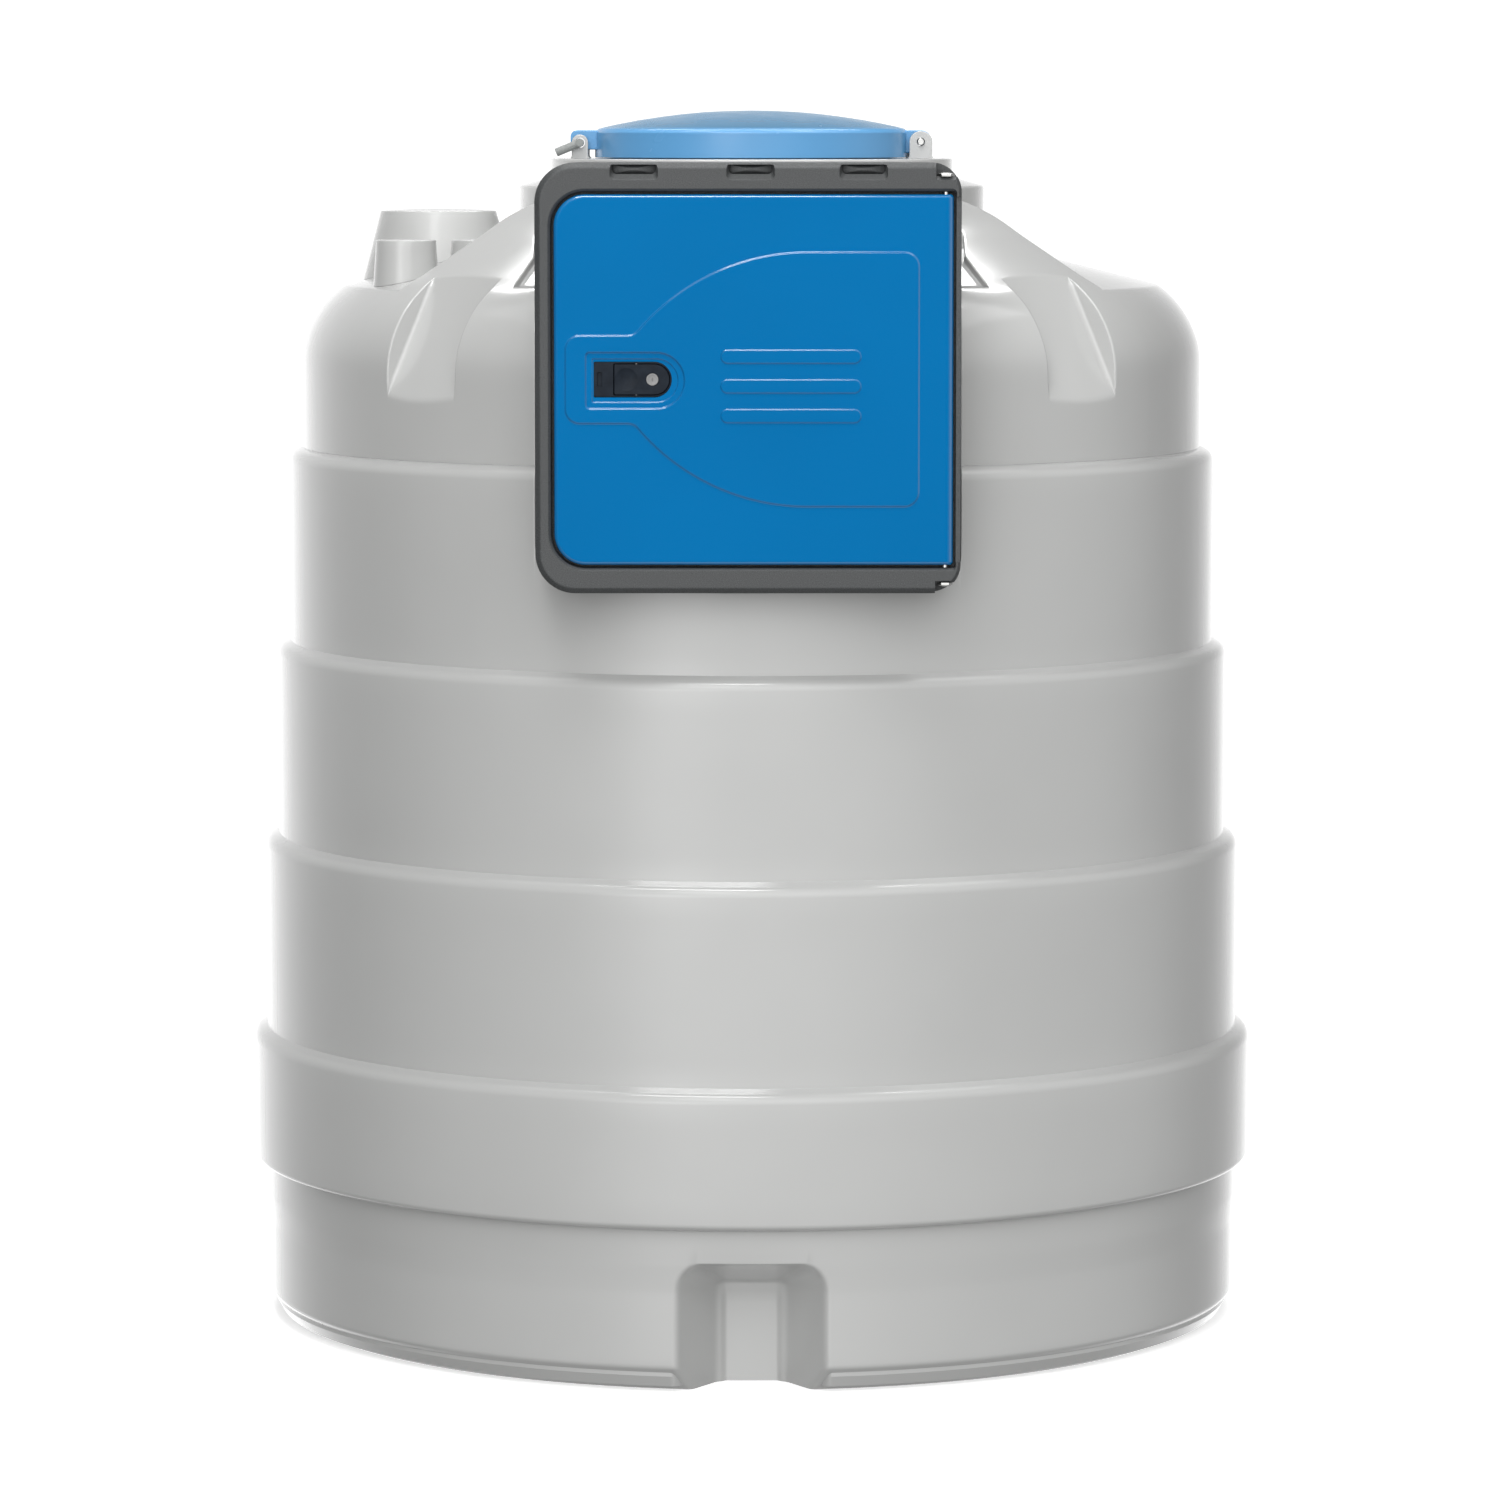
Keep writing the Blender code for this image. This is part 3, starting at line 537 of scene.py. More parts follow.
def recess_cutter(z_top):
    """The space of the cabinet's recess, with its rounded lower corners."""
    outline = rounded(RECESS_X0, RECESS_X1, RECESS_Z, z_top, 0.001, 0.001, 12, RECESS_R_LEFT, RECESS_R_RIGHT)
    return prism_y(lambda off: outline, -1.1, RECESS_Y).mesh("recess")


def recess_rim(x, y, z, nx, ny, nz):
    """Rounds the shell's skin over the edges of the cabinet's recess."""
    e = np.maximum(np.maximum(x - RECESS_X1, RECESS_X0 - x), RECESS_Z - z)
    for cx, side, radius in ((RECESS_X0 + RECESS_R_LEFT, -1, RECESS_R_LEFT), (RECESS_X1 - RECESS_R_RIGHT, 1, RECESS_R_RIGHT)):
        dx, dz = (x - cx) * side, RECESS_Z + radius - z
        e = np.where((dx > 0) & (dz > 0), np.hypot(dx, dz) - radius, e)
    r = RECESS_RIM
    drop = r - np.sqrt(np.maximum(r * r - np.clip(r - e, 0, r) ** 2, 0))
    drop = np.where(y < RECESS_Y + 0.004, drop, 0.0)
    return x - nx * drop, y - ny * drop, z - nz * drop


def make_lower_shell():
    pts = [(0.80, 0.0), (R_GROUND, 0.0, 0.006), (R_BASE, 0.047, 0.014), (R_BASE, 0.184, 0.20), (0.9254, 0.233, 0.15)]
    pts += [(0.9254, BELT_Z + 0.0006, 0.0025), (R_BELT, BELT_Z + 0.0070, 0.0120)]
    outer = R_BELT
    for z in STEP_ZS[:3]:
        pts += [(outer, z - 0.0122, 0.023), (outer - STEP_R, z, 0.0012)]
        outer -= STEP_R
    pts += [(outer, SPLIT - 0.0122, 0.023), (outer - STEP_R, SPLIT)]
    line = fillet_line(pts, steps=9)
    line = insert_z(line, [RECESS_Z - o for o in EDGE_OFFS])

    def spacing(r, z):
        if z < 0.002:
            return 0.02
        if z < 0.17:
            return 0.012
        if z < 0.25:
            return 0.0030
        return 0.045

    line = refine(line, spacing)

    near = np.concatenate([np.linspace(0, 0.040, 7)[:-1], np.linspace(0.040, 0.068, 12)[:-1], np.linspace(0.068, 0.112, 9)[:-1],
                           np.linspace(0.112, 0.150, 16)[:-1], np.linspace(0.150, 0.172, 5)])
    dense = np.concatenate([-near[:0:-1], near])
    right = np.concatenate([np.linspace(0.172, RECESS_X1 - 0.006, 13)[1:], RECESS_X1 + np.array(EDGE_OFFS), [RECESS_X1 + 0.009, 0.395, 0.410]])
    left = np.concatenate([np.linspace(0.172, -RECESS_X0 - 0.006, 13)[1:], -RECESS_X0 + np.array(EDGE_OFFS), [-RECESS_X0 + 0.009, 0.405, 0.418]])
    front = np.concatenate([-left[::-1], dense, right])

    def angles(r):
        """Azimuths from -Y towards +X, in [front, right side, rear, left side] order, for one row."""
        r = max(r, 0.70)
        f = np.arcsin(front / r)
        b = math.pi - np.arcsin(dense / r)
        count = 92
        rear = np.sort(b)
        right_side = np.linspace(f[-1], rear[0], count + 1)[1:-1]
        left_side = np.linspace(rear[-1], 2 * math.pi + f[0], count + 1)[1:-1]
        return np.concatenate([f, right_side, rear, left_side])

    def notch_depth(x, z, grow):
        """|Y| of the base recess's surface over (x, z)."""
        lo, hi = np.full(x.shape, -0.10), np.full(x.shape, 0.35)
        for _ in range(34):
            mid = (lo + hi) / 2
            half, top = 0.061 + 0.608 * mid, 0.183 + 0.415 * mid
            corner = np.clip(0.018 + 0.27 * mid, 0.004, 0.09)
            qx, qz = np.abs(x) - half + corner, z - top + corner
            sd = np.hypot(np.maximum(qx, 0), np.maximum(qz, 0)) + np.minimum(np.maximum(qx, qz), 0) - corner
            outside = sd > 0
            lo, hi = np.where(outside, mid, lo), np.where(outside, hi, mid)
        slope = 0.792 + (lo + hi) / 2 - 1.9 * grow
        back = 0.792 - 0.009 * (1 - step01(np.abs(x), 0.0445, 0.0575)) * (1 - step01(z, 0.158, 0.174)) - grow
        return smax(slope, back, 0.012)

    def surface(profile, grow):
        rows = []
        for r, z in profile:
            phi = angles(r)
            x, y = r * np.sin(phi), -r * np.cos(phi)
            zz = np.full(x.shape, z)
            if z < 0.262:
                near_notch = np.abs(x) < 0.1721
                depth = notch_depth(x, zz, grow)
                size = smin(np.abs(y), depth, 0.013)
                y = np.where(near_notch & (np.abs(y) > 0.5), np.sign(y) * size, y)
            if z > RECESS_Z - 0.004 and grow == 0:
                x, y, zz = recess_rim(x, y, zz, np.sin(phi), -np.cos(phi), 0.0)
            rows.append(np.stack([x, y, zz], -1))
        return rows

    outer_rows = surface(line[1:], 0.0)
    first = outer_rows[0]
    floor = [first * np.array([s, s, 1.0]) for s in (0.15, 0.40, 0.62, 0.78, 0.90, 0.97)]
    inner_line = [(R_BASE - WALL - 0.012, WALL), (R_BASE - WALL, 0.030), (R_BASE - WALL, 0.10), (R_BASE - WALL, 0.16), (R_BASE - WALL, 0.184),
                  (0.914, 0.21), (0.9154, 0.233), (0.9154, 0.26), (0.9154, BELT_Z + 0.009), (R_BELT - WALL, BELT_Z + 0.020)]
    outer = R_BELT
    for z in STEP_ZS[:3]:
        inner_line += [(outer - WALL, z - 0.030), (outer - STEP_R - WALL, z - 0.0035)]
        outer -= STEP_R
    inner_line += [(outer - WALL, SPLIT - 0.030), (outer - STEP_R - WALL, SPLIT - 0.0035), (outer - STEP_R - WALL, SPLIT)]
    inner_rows = surface(inner_line[::-1], WALL)
    low = inner_rows[-1]
    inner_floor = [low * np.array([s, s, 1.0]) for s in (0.85, 0.5, 0.15)]
    rows = floor + outer_rows + inner_rows + inner_floor
    co, faces = wrap_rows(rows, ((0, 0, 0), (0, 0, WALL)))
    made = finish_mesh("shell_lower", mesh_from("shell_lower", co, faces), GREY, None, sharp=30)
    boolean(made, loose(recess_cutter(1.80)))
    reshade(made, 30)
    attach(made, "tank")
    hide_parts("tank_floor", *[n for n in frame["nodes"] if n.startswith("tank_wall")])
    return made


def upper_profile():
    """Wall, shoulder and dome line as (radius, z), evenly rounded."""
    knots = [
        (0.850, 1.775), (0.850, 1.789), (0.8464, 1.840), (0.8297, 1.885), (0.7975, 1.930), (0.770, 1.954), (0.727, 1.983),
        (0.697, 2.003), (0.628, 2.049), (0.563, 2.093), (0.505, 2.118), (0.440, 2.126),
    ]
    p = np.array(knots)
    out = []
    for i in range(1, len(p) - 1):
        p0, p1, p2 = p[i - 1], p[i], p[i + 1]
        p3 = p[i + 2] if i + 2 < len(p) else p2 + (p2 - p1)
        d1, d2 = np.hypot(*(p1 - p0)), np.hypot(*(p2 - p1))
        d3 = np.hypot(*(p3 - p2))
        m1 = ((p1 - p0) / d1 * d2 + (p2 - p1) / d2 * d1) / (d1 + d2) * d2
        m2 = ((p2 - p1) / d2 * d3 + (p3 - p2) / d3 * d2) / (d2 + d3) * d2
        if i == 1:
            m1 = np.array([0.0, 1.0]) * d2
        for t in np.linspace(0, 1, 24, endpoint=False):
            h = (2 * t**3 - 3 * t**2 + 1, t**3 - 2 * t**2 + t, -2 * t**3 + 3 * t**2, t**3 - t**2)
            out.append(h[0] * p1 + h[1] * m1 + h[2] * p2 + h[3] * m2)
    out.append(p[-1])
    return np.array(out)


def make_upper_shell():
    curve = upper_profile()
    length = np.concatenate([[0], np.cumsum(np.hypot(*np.diff(curve, axis=0).T))])

    def at(s):
        return np.interp(s, length, curve[:, 0]), np.interp(s, length, curve[:, 1])

    def spacing(s):
        r, z = at(s)
        if z < 1.80:
            return 0.0045
        if abs(r - 0.770) < 0.008 or 0.722 < r < 0.742 or abs(r - 0.7545) < 0.006:
            return 0.0022
        if z < 1.95:
            return 0.0075
        return 0.0065

    rows = [(0.850, SPLIT + 0.0001), (0.850, 1.67), (0.850, 1.70), (0.850, 1.72), (0.850, 1.735)]
    rows += [(0.850, z) for z in np.linspace(1.744, 1.786, 14)]
    s = 0.0
    while s < length[-1] - 0.014:
        rows.append(at(s))
        s += spacing(s)
    rows = [(float(r), float(z)) for r, z in rows]
    near_turret = [0.0105, 0.0080, 0.0060, 0.0042, 0.0027, 0.0015, 0.0007, 0.0002, 0.00002]

    line_c = 0.1917 / 1.0615  # land wall line: R sin(theta - LAND_TURN) = line_c
    land_turn = math.atan(0.356)

    def land_key(r, e):
        rc = np.clip(r, TURRET_R, 0.770)
        theta = land_turn + np.arcsin(np.clip((line_c + e) / rc, -1, 1))
        base = land_turn + np.arcsin(line_c / rc)
        free = math.pi / 2 - base + math.radians(1.0) * np.clip((r - 0.770) / 0.08, 0, 1)
        return free - (theta - base)

    def scoop_key(r, side, e):
        rc = max(r, 0.727)
        exact = math.pi / 4 + side * math.asin((SCOOP_HALF + e) / rc)
        if r >= 0.727:
            return exact
        table = {-1: (36.2, 41.8, 37.97), 1: (41.3, 51.0, 52.03)}[side]
        base = math.radians(np.interp(r, [0.44, 0.61, 0.727], table))
        edge = math.asin(SCOOP_HALF / rc)
        return base + (exact - math.pi / 4 - side * edge) * np.interp(r, [0.44, 0.727], [0.35, 1.0])

    def scoop_centre(r):
        return math.radians(np.interp(r, [0.44, 0.61, 0.727], [38.8, 46.3, 45.0]))

    def pocket_key(r, e, right):
        x0, (xa, ya), (xb, yb) = (0.386, (0.386, 0.550), (0.518, 0.781)) if right else (0.394, (0.394, 0.550), (0.508, 0.781))
        lowest = math.hypot(RECESS_X1 if right else -RECESS_X0, 0.475)
        rc = max(r, lowest)

        def solve(shift):
            if rc <= math.hypot(xa, ya):
                return math.asin(min(1.0, (x0 + shift) / rc))
            dx, dy = xb - xa, yb - ya
            size = math.hypot(dx, dy)
            nx, ny = dy / size, -dx / size  # outward normal in (x, front distance)
            turn = math.atan2(ny, nx)
            reach = xa * nx + ya * ny + shift
            # point (rc sin a, rc cos a) with nx rc sin a + ny rc cos a = reach
            return math.asin(min(1.0, reach / rc)) - turn

        exact, base = solve(e), solve(0.0)
        if r < lowest:
            base_free = math.radians(np.interp(r, [0.44, lowest], [33.5, math.degrees(base)]))
            return base_free + (exact - base)
        return exact

    def recess_key(r, e, right):
        x0 = RECESS_X1 if right else -RECESS_X0
        lowest = math.hypot(x0, 0.475)
        rc = max(r, lowest)
        exact = math.asin(min(1.0, (x0 + e) / rc))
        if r < lowest:
            base = math.asin(x0 / rc)
            free = math.radians(np.interp(r, [0.44, lowest], [31.0, math.degrees(base)]))
            return free + (exact - base)
        return exact

    wall_e = [0.0115, 0.0085, 0.0062, 0.0044, 0.0030, 0.0019, 0.0010, 0.0004, 0.00002]
    foot_e = [-0.00002, -0.0005, -0.0013, -0.0025, -0.0040, -0.0058, -0.0080, -0.0105, -0.0135]
    pocket_out = [0.0065, 0.0045, 0.0031, 0.0020, 0.0011, 0.0004, 0.00002]
    pocket_in = [-0.00002, -0.0005, -0.0013, -0.0023, -0.0031]
    rec_in = [-0.0030, -0.0015, -0.0004]
    rec_out = [0.0, 0.0003, 0.0008, 0.0014, 0.0021, 0.0029]

    def half_turn(r, right):
        """Azimuths from the front (0) to the rear (pi) on one side."""
        keys = []

        def fill(a, b, count):
            return [a + (b - a) * k / count for k in range(1, count)]

        recess = [recess_key(r, e, right) for e in rec_in + rec_out]
        pocket = [pocket_key(r, e, right) for e in pocket_in[::-1] + pocket_out[::-1]]
        scoop_a = [scoop_key(r, -1, e) for e in wall_e] + [scoop_key(r, -1, e) for e in foot_e]
        centre = scoop_centre(r)
        scoop_b = [scoop_key(r, 1, e) for e in foot_e[::-1]] + [scoop_key(r, 1, e) for e in wall_e[::-1]]
        land = [land_key(r, e) for e in wall_e] + [land_key(r, e) for e in foot_e]
        keys = [0.0] + fill(0.0, recess[0], 12) + recess
        keys += fill(recess[-1], pocket[0], 2) + pocket
        keys += fill(pocket[-1], scoop_a[0], 6) + scoop_a + fill(scoop_a[-1], centre, 6) + [centre]
        keys += fill(centre, scoop_b[0], 6) + scoop_b + fill(scoop_b[-1], land[0], 6) + land
        keys += fill(land[-1], math.pi / 2, 14) + [math.pi / 2]
        back_land = [math.pi - a for a in land[::-1]]
        back_b = [math.pi - a for a in scoop_b[::-1]]
        back_a = [math.pi - a for a in scoop_a[::-1]]
        keys += fill(math.pi / 2, back_land[0], 14) + back_land + fill(back_land[-1], back_b[0], 6) + back_b
        keys += fill(back_b[-1], math.pi - centre, 6) + [math.pi - centre] + fill(math.pi - centre, back_a[0], 6) + back_a
        keys += fill(back_a[-1], math.pi, 22)
        return keys

    def angles(r):
        right, left = half_turn(r, True), half_turn(r, False)
        return np.array(right + [math.pi] + [2 * math.pi - a for a in left[:0:-1]])

    normal_r = np.gradient(curve[:, 0])
    normal_z = np.gradient(curve[:, 1])
    size = np.hypot(normal_r, normal_z)
    normal_r, normal_z = normal_z / size, -normal_r / size

    du, dz = SCOOP_FOOT[0] - SCOOP_TOP[0], SCOOP_FOOT[1] - SCOOP_TOP[1]
    slope = du / dz  # change of floor radius with height
    push = math.hypot(1.0, slope)

    def shaped(r, z, phi, grow):
        """Row of points for one profile point, cut by the lands, the pocket and the strap recesses."""
        x, y = r * np.sin(phi), -r * np.cos(phi)
        zz = np.full(x.shape, float(z))
        out = 1.0 if grow == 0 else 0.0
        ax, ay = np.abs(x), np.abs(y)
        # side lands
        e = (ay - 0.421 + (0.644 - ax) * 0.356) / 1.0615 - grow
        land = LAND_Z + (LAND_R - r) * LAND_SLOPE - 1.031 * grow
        cut = smin(zz, np.full(x.shape, land), 0.0025)
        depth = np.maximum(zz - cut, 0)
        drop = wall_drop(e, depth, 0.007, 0.012)
        lower = zz - np.where(ax > 0.30, drop, 0.0)
        # pocket beside the cabinet, in front
        right = x > 0
        xa = np.where(right, 0.386, 0.394)
        xb = np.where(right, 0.518, 0.508)
        size = np.hypot(xb - xa, 0.231)
        slanted = ((ax - xa) * 0.231 - (ay - 0.550) * (xb - xa)) / size
        straight = ax - xa
        e = np.where(ay > 0.550, np.maximum(slanted, straight * 0 + slanted), straight) - grow
        depth = np.maximum(zz - smin(zz, np.full(x.shape, LEDGE_Z - grow), 0.002), 0)
        depth = smin(depth, np.full(x.shape, POCKET_DEPTH), 0.004)
        drop = wall_drop(e, np.maximum(depth, 0), 0.0040, 0.0030)
        x_in = np.where(right, RECESS_X1, -RECESS_X0)
        inside = step01(ax, x_in - 0.0031 - grow, x_in - 0.0016 - grow)
        back = step01(ay, 0.477 - 1.1 * grow, 0.500 - 1.1 * grow)
        front = (y < 0) & (r < 0.84)
        lower = np.minimum(lower, zz - np.where(front, drop * inside * back, 0.0))
        # strap recesses: cut along the radius of their own middle plane
        turn = np.arctan2(ax, ay)  # 0 on the Y axis
        u, v = r * np.cos(turn - math.pi / 4), r * np.sin(turn - math.pi / 4)
        floor = SCOOP_TOP[0] + (z - SCOOP_TOP[1]) * slope - grow * push
        blend = 0.0035
        su = smin(u, np.full(u.shape, floor), blend)
        depth = np.maximum(u - su, 0)
        e = np.abs(v) - SCOOP_HALF - grow
        drop = wall_drop(e, depth, 0.0045, 0.0110)
        drop = np.where((r > 0.69) & (np.abs(v) < 0.12), drop, 0.0)
        moved = u - drop
        a = np.pi / 4
        nx = moved * np.sin(a) + v * np.cos(a)
        ny = moved * np.cos(a) - v * np.sin(a)
        hit = drop > 1e-7
        x = np.where(hit, np.sign(x) * nx, x)
        y = np.where(hit, np.sign(y) * ny, y)
        if grow == 0:
            k = int(np.argmin(np.abs(curve[:, 0] - r) + np.abs(curve[:, 1] - z)))
            nr, nz = (1.0, 0.0) if z < 1.789 else (normal_r[k], normal_z[k])
            flat = step01(z, 1.935, 1.962)
            nr, nz = nr * (1 - flat), nz * (1 - flat) + flat
            x, y, lower = recess_rim(x, y, lower, nr * np.sin(phi), -nr * np.cos(phi), nz)
        return np.stack([x, y, lower], -1)

    def turret_rows(grow):
        rows_out = []
        phi = angles(TURRET_R)
        base = shaped(TURRET_R, 2.126, phi, grow)[:, 2]
        foot = 0.009
        rise = np.minimum(1.0, np.maximum(2.1270 - base, 0) / foot)
        offs = near_turret if grow == 0 else []
        for off in offs:
            r = TURRET_R + off
            z_here = float(np.interp(-r, -curve[:, 0], curve[:, 1]))
            row = shaped(r, z_here, angles(r), grow)
            rad = np.maximum(foot * rise, 1e-9)
            lift = rad - np.sqrt(np.maximum(rad**2 - np.clip(rad - off, 0, rad) ** 2, 0))
            row[:, 2] = row[:, 2] + lift
            rows_out.append(row)
        return rows_out, base

    outer = [shaped(r, z, angles(r), 0.0) for r, z in rows]
    foot_rows, _ = turret_rows(0.0)
    outer += foot_rows
    last = outer[-1]
    phi = angles(TURRET_R)
    for share in (0.25, 0.5, 0.75, 1.0):
        z = last[:, 2] + (2.1300 - last[:, 2]) * share
        outer.append(np.stack([TURRET_R * np.sin(phi), -TURRET_R * np.cos(phi), z], -1))
    top = fillet_line([(TURRET_R, 2.1300), (TURRET_R, 2.1405, 0.0065), (NECK_R + 0.003, NECK_Z0 - 0.0004, 0.01), (NECK_R, NECK_Z0), (0.30, NECK_Z0), (MANWAY_R, NECK_Z0),
                       (MANWAY_R, NECK_Z0 - 0.0095), (0.30, NECK_Z0 - 0.0095), (0.377, NECK_Z0 - 0.0095)], steps=7)
    for r, z in top[1:]:
        outer.append(np.stack([r * np.sin(phi), -r * np.cos(phi), np.full(phi.shape, z)], -1))

    # Inner skin, in coarser rows from the turret down to the split.
    inner = []
    r = TURRET_R - WALL
    inner.append(np.stack([r * np.sin(phi), -r * np.cos(phi), np.full(phi.shape, 2.119)], -1))
    base = shaped(TURRET_R, 2.126 - WALL, phi, WALL)
    inner.append(np.stack([r * np.sin(phi), -r * np.cos(phi), base[:, 2]], -1))
    picks = list(range(len(rows) - 1, 5, -5)) + [4, 0]
    for i in picks:
        r, z = rows[i]
        k = int(np.argmin(np.hypot(curve[:, 0] - r, curve[:, 1] - z)))
        nr, nz = (1.0, 0.0) if z < 1.789 else (normal_r[k], normal_z[k])
        inner.append(shaped(r - nr * WALL, z - nz * WALL, angles(r), WALL))
    inner[-1][:, 2] = SPLIT + 0.0001
    co, faces = wrap_rows(outer + inner, loop=True)
    made = finish_mesh("shell_upper", mesh_from("shell_upper", co, faces), GREY, None, sharp=30)
    boolean(made, loose(recess_cutter(2.60)))
    reshade(made, 30)
    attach(made, "tank")
    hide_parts(*[n for n in frame["nodes"] if n.startswith("tank_roof")])
    return made


# ---------------------------------------------------------------- pieces built from loops
class Shape:
    """Collects the loops and faces of one closed piece."""

    def __init__(self):
        self.bm = bmesh.new()

    def loop(self, points):
        return [self.bm.verts.new(p) for p in points]

    def front(self, outline, y):
        """A loop of (x, z) points at one depth."""
        return self.loop([(p[0], y, p[1]) for p in outline])

    def flat(self, outline, z):
        return self.loop([(p[0], p[1], z) for p in outline])

    def strips(self, loops, closed=False):
        pairs = list(zip(loops, loops[1:])) + ([(loops[-1], loops[0])] if closed else [])
        for a, b in pairs:
            count = len(a)
            for i in range(count):
                j = (i + 1) % count
                self.bm.faces.new((a[i], a[j], b[j], b[i]))

    def cap(self, loop):
        self.bm.faces.new(loop)

    def fill(self, loops):
        """Fills the flat region between an outer loop and the loops inside it."""
        edges = []
        for loop in loops:
            for a, b in zip(loop, loop[1:] + loop[:1]):
                edges.append(self.bm.edges.get((a, b)) or self.bm.edges.new((a, b)))
        bmesh.ops.triangle_fill(self.bm, edges=edges, use_beauty=True, use_dissolve=False)

    def mesh(self, name):
        bmesh.ops.recalc_face_normals(self.bm, faces=self.bm.faces)
        if self.bm.calc_volume(signed=True) < 0:
            bmesh.ops.reverse_faces(self.bm, faces=self.bm.faces)
        mesh = bpy.data.meshes.new(name)
        self.bm.to_mesh(mesh)
        self.bm.free()
        return mesh


def place(name, mesh, mat, body, slot, nodes=(), sharp=40.0, cuts=(), joins=()):
    """Makes a piece, cuts and joins it, and keeps its flat faces flat in the shading."""
    obj = bpy.data.objects.new(name, mesh)
    bpy.context.scene.collection.objects.link(obj)
    for other in joins:
        boolean(obj, other, "UNION")
    for other in cuts:
        boolean(obj, other)
    obj.data.materials.clear()
    obj.data.materials.append(mat)
    reshade(obj, sharp)
    weights = obj.modifiers.new("flat faces", "WEIGHTED_NORMAL")
    weights.mode = "FACE_AREA"
    weights.weight = 60
    weights.keep_sharp = True
    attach(obj, body)
    if nodes:
        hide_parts(*nodes)
    return obj


def loose(mesh):
    obj = bpy.data.objects.new("cutter", mesh)
    bpy.context.scene.collection.objects.link(obj)
    return obj


def prism_y(outline, y0, y1, rim=0.0, steps=4):
    """A slab between two depths with rounded rims. outline(off) gives its (x, z) points."""
    shape = Shape()
    loops = []
    for i in range(steps + 1):
        angle = math.pi / 2 * i / steps
        if rim > 0:
            loops.append(shape.front(outline(-rim * (1 - math.sin(angle))), y0 + rim * (1 - math.cos(angle))))
    if rim <= 0:
        loops.append(shape.front(outline(0), y0))
        loops.append(shape.front(outline(0), y1))
    else:
        for i in range(steps, -1, -1):
            angle = math.pi / 2 * i / steps
            loops.append(shape.front(outline(-rim * (1 - math.sin(angle))), y1 - rim * (1 - math.cos(angle))))
    shape.strips(loops)
    shape.cap(loops[0])
    shape.cap(loops[-1])
    return shape


def rod_mesh(start, end, radius, sides=24, rim=0.0, steps=3):
    """A straight rod with rounded rims."""
    start, end = Vector(start), Vector(end)
    axis = (end - start).normalized()
    side = axis.orthogonal().normalized()
    other = axis.cross(side)
    length = (end - start).length
    stations = []
    if rim > 0:
        for i in range(steps + 1):
            angle = math.pi / 2 * i / steps
            stations.append((rim * (1 - math.cos(angle)), radius - rim * (1 - math.sin(angle))))
        stations += [(length - s, r) for s, r in reversed(stations)]
    else:
        stations = [(0.0, radius), (length, radius)]
    shape = Shape()
    loops = []
    for s, r in stations:
        centre = start + axis * s
        loops.append(shape.loop([
            centre + side * (r * math.cos(2 * math.pi * k / sides)) + other * (r * math.sin(2 * math.pi * k / sides))
            for k in range(sides)
        ]))
    shape.strips(loops)
    shape.cap(loops[0])
    shape.cap(loops[-1])
    return shape.mesh("rod")


def turned_y(cx, cz, line, sides=40):
    """Turns a closed or open (radius, y) line about an axis along Y through (cx, cz)."""
    shape = Shape()
    loops = []
    for r, y in line:
        loops.append(shape.loop([
            (cx + r * math.cos(2 * math.pi * k / sides), y, cz + r * math.sin(2 * math.pi * k / sides)) for k in range(sides)
        ]))
    shape.strips(loops)
    shape.cap(loops[0])
    shape.cap(loops[-1])
    return shape.mesh("turned")


def s_curve(foot, rim, angle, height):
    """Offsets and heights of a soft step: foot fillet, slope, rim fillet, from outside to inside."""
    a = math.radians(angle)
    foot_rise, rim_rise = foot * (1 - math.cos(a)), rim * (1 - math.cos(a))
    run = max(0.0, height - foot_rise - rim_rise) / math.tan(a)
    out = []
    for i in range(6):
        t = a * i / 5
        out.append((-foot * math.sin(t), foot * (1 - math.cos(t))))
    x0, h0 = out[-1][0] - run, height - rim_rise
    for i in range(6):
        t = a * (1 - i / 5)
        out.append((x0 - rim * (math.sin(a) - math.sin(t)), height - rim * (1 - math.cos(t))))
    middle = out[-1][0] / 2
    return [(o - middle, h) for o, h in out]


# ---------------------------------------------------------------- recess liner
def make_recess(curve_limit):
    """The moulded tray behind the cabinet: a floor, two sides and a back, 10 mm thick."""
    shape = Shape()
    x0, x1, y1, z0 = RECESS_X0, RECESS_X1, RECESS_Y, RECESS_Z
    w = WALL

    def outline(off, low):
        return rounded(x0 - off, x1 + off, low - off, 2.30, 0.004, 0.004, 10, RECESS_R_LEFT + off, RECESS_R_RIGHT + off)

    outer = [shape.front(outline(w, z0), y) for y in (-1.0, y1 + w)]
    inner = [shape.front(outline(-0.0, z0), y) for y in (-1.0, y1 - 0.004)]
    deep = shape.front(outline(-0.004, z0), y1)
    shape.strips([outer[1], outer[0], inner[0], inner[1], deep])
    shape.cap(outer[1])
    shape.cap(deep)
    tray = loose(shape.mesh("cabinet_recess_look"))
    limit = loose(curve_limit)
    boolean(tray, limit, "INTERSECT")
    for x in ((-1.0, x0 + 0.0005), (x1 - 0.0005, 1.0)):
        boolean(tray, cutter_box(x, (-1.1, y1 - 0.0005), (LEDGE_Z - w - 0.0006, 2.6)))
    mesh = tray.data
    bpy.data.objects.remove(tray, do_unlink=True)
    return place("recess_liner", mesh, GREY, "tank", "tank_plastic", ("cabinet_recess",), 40)


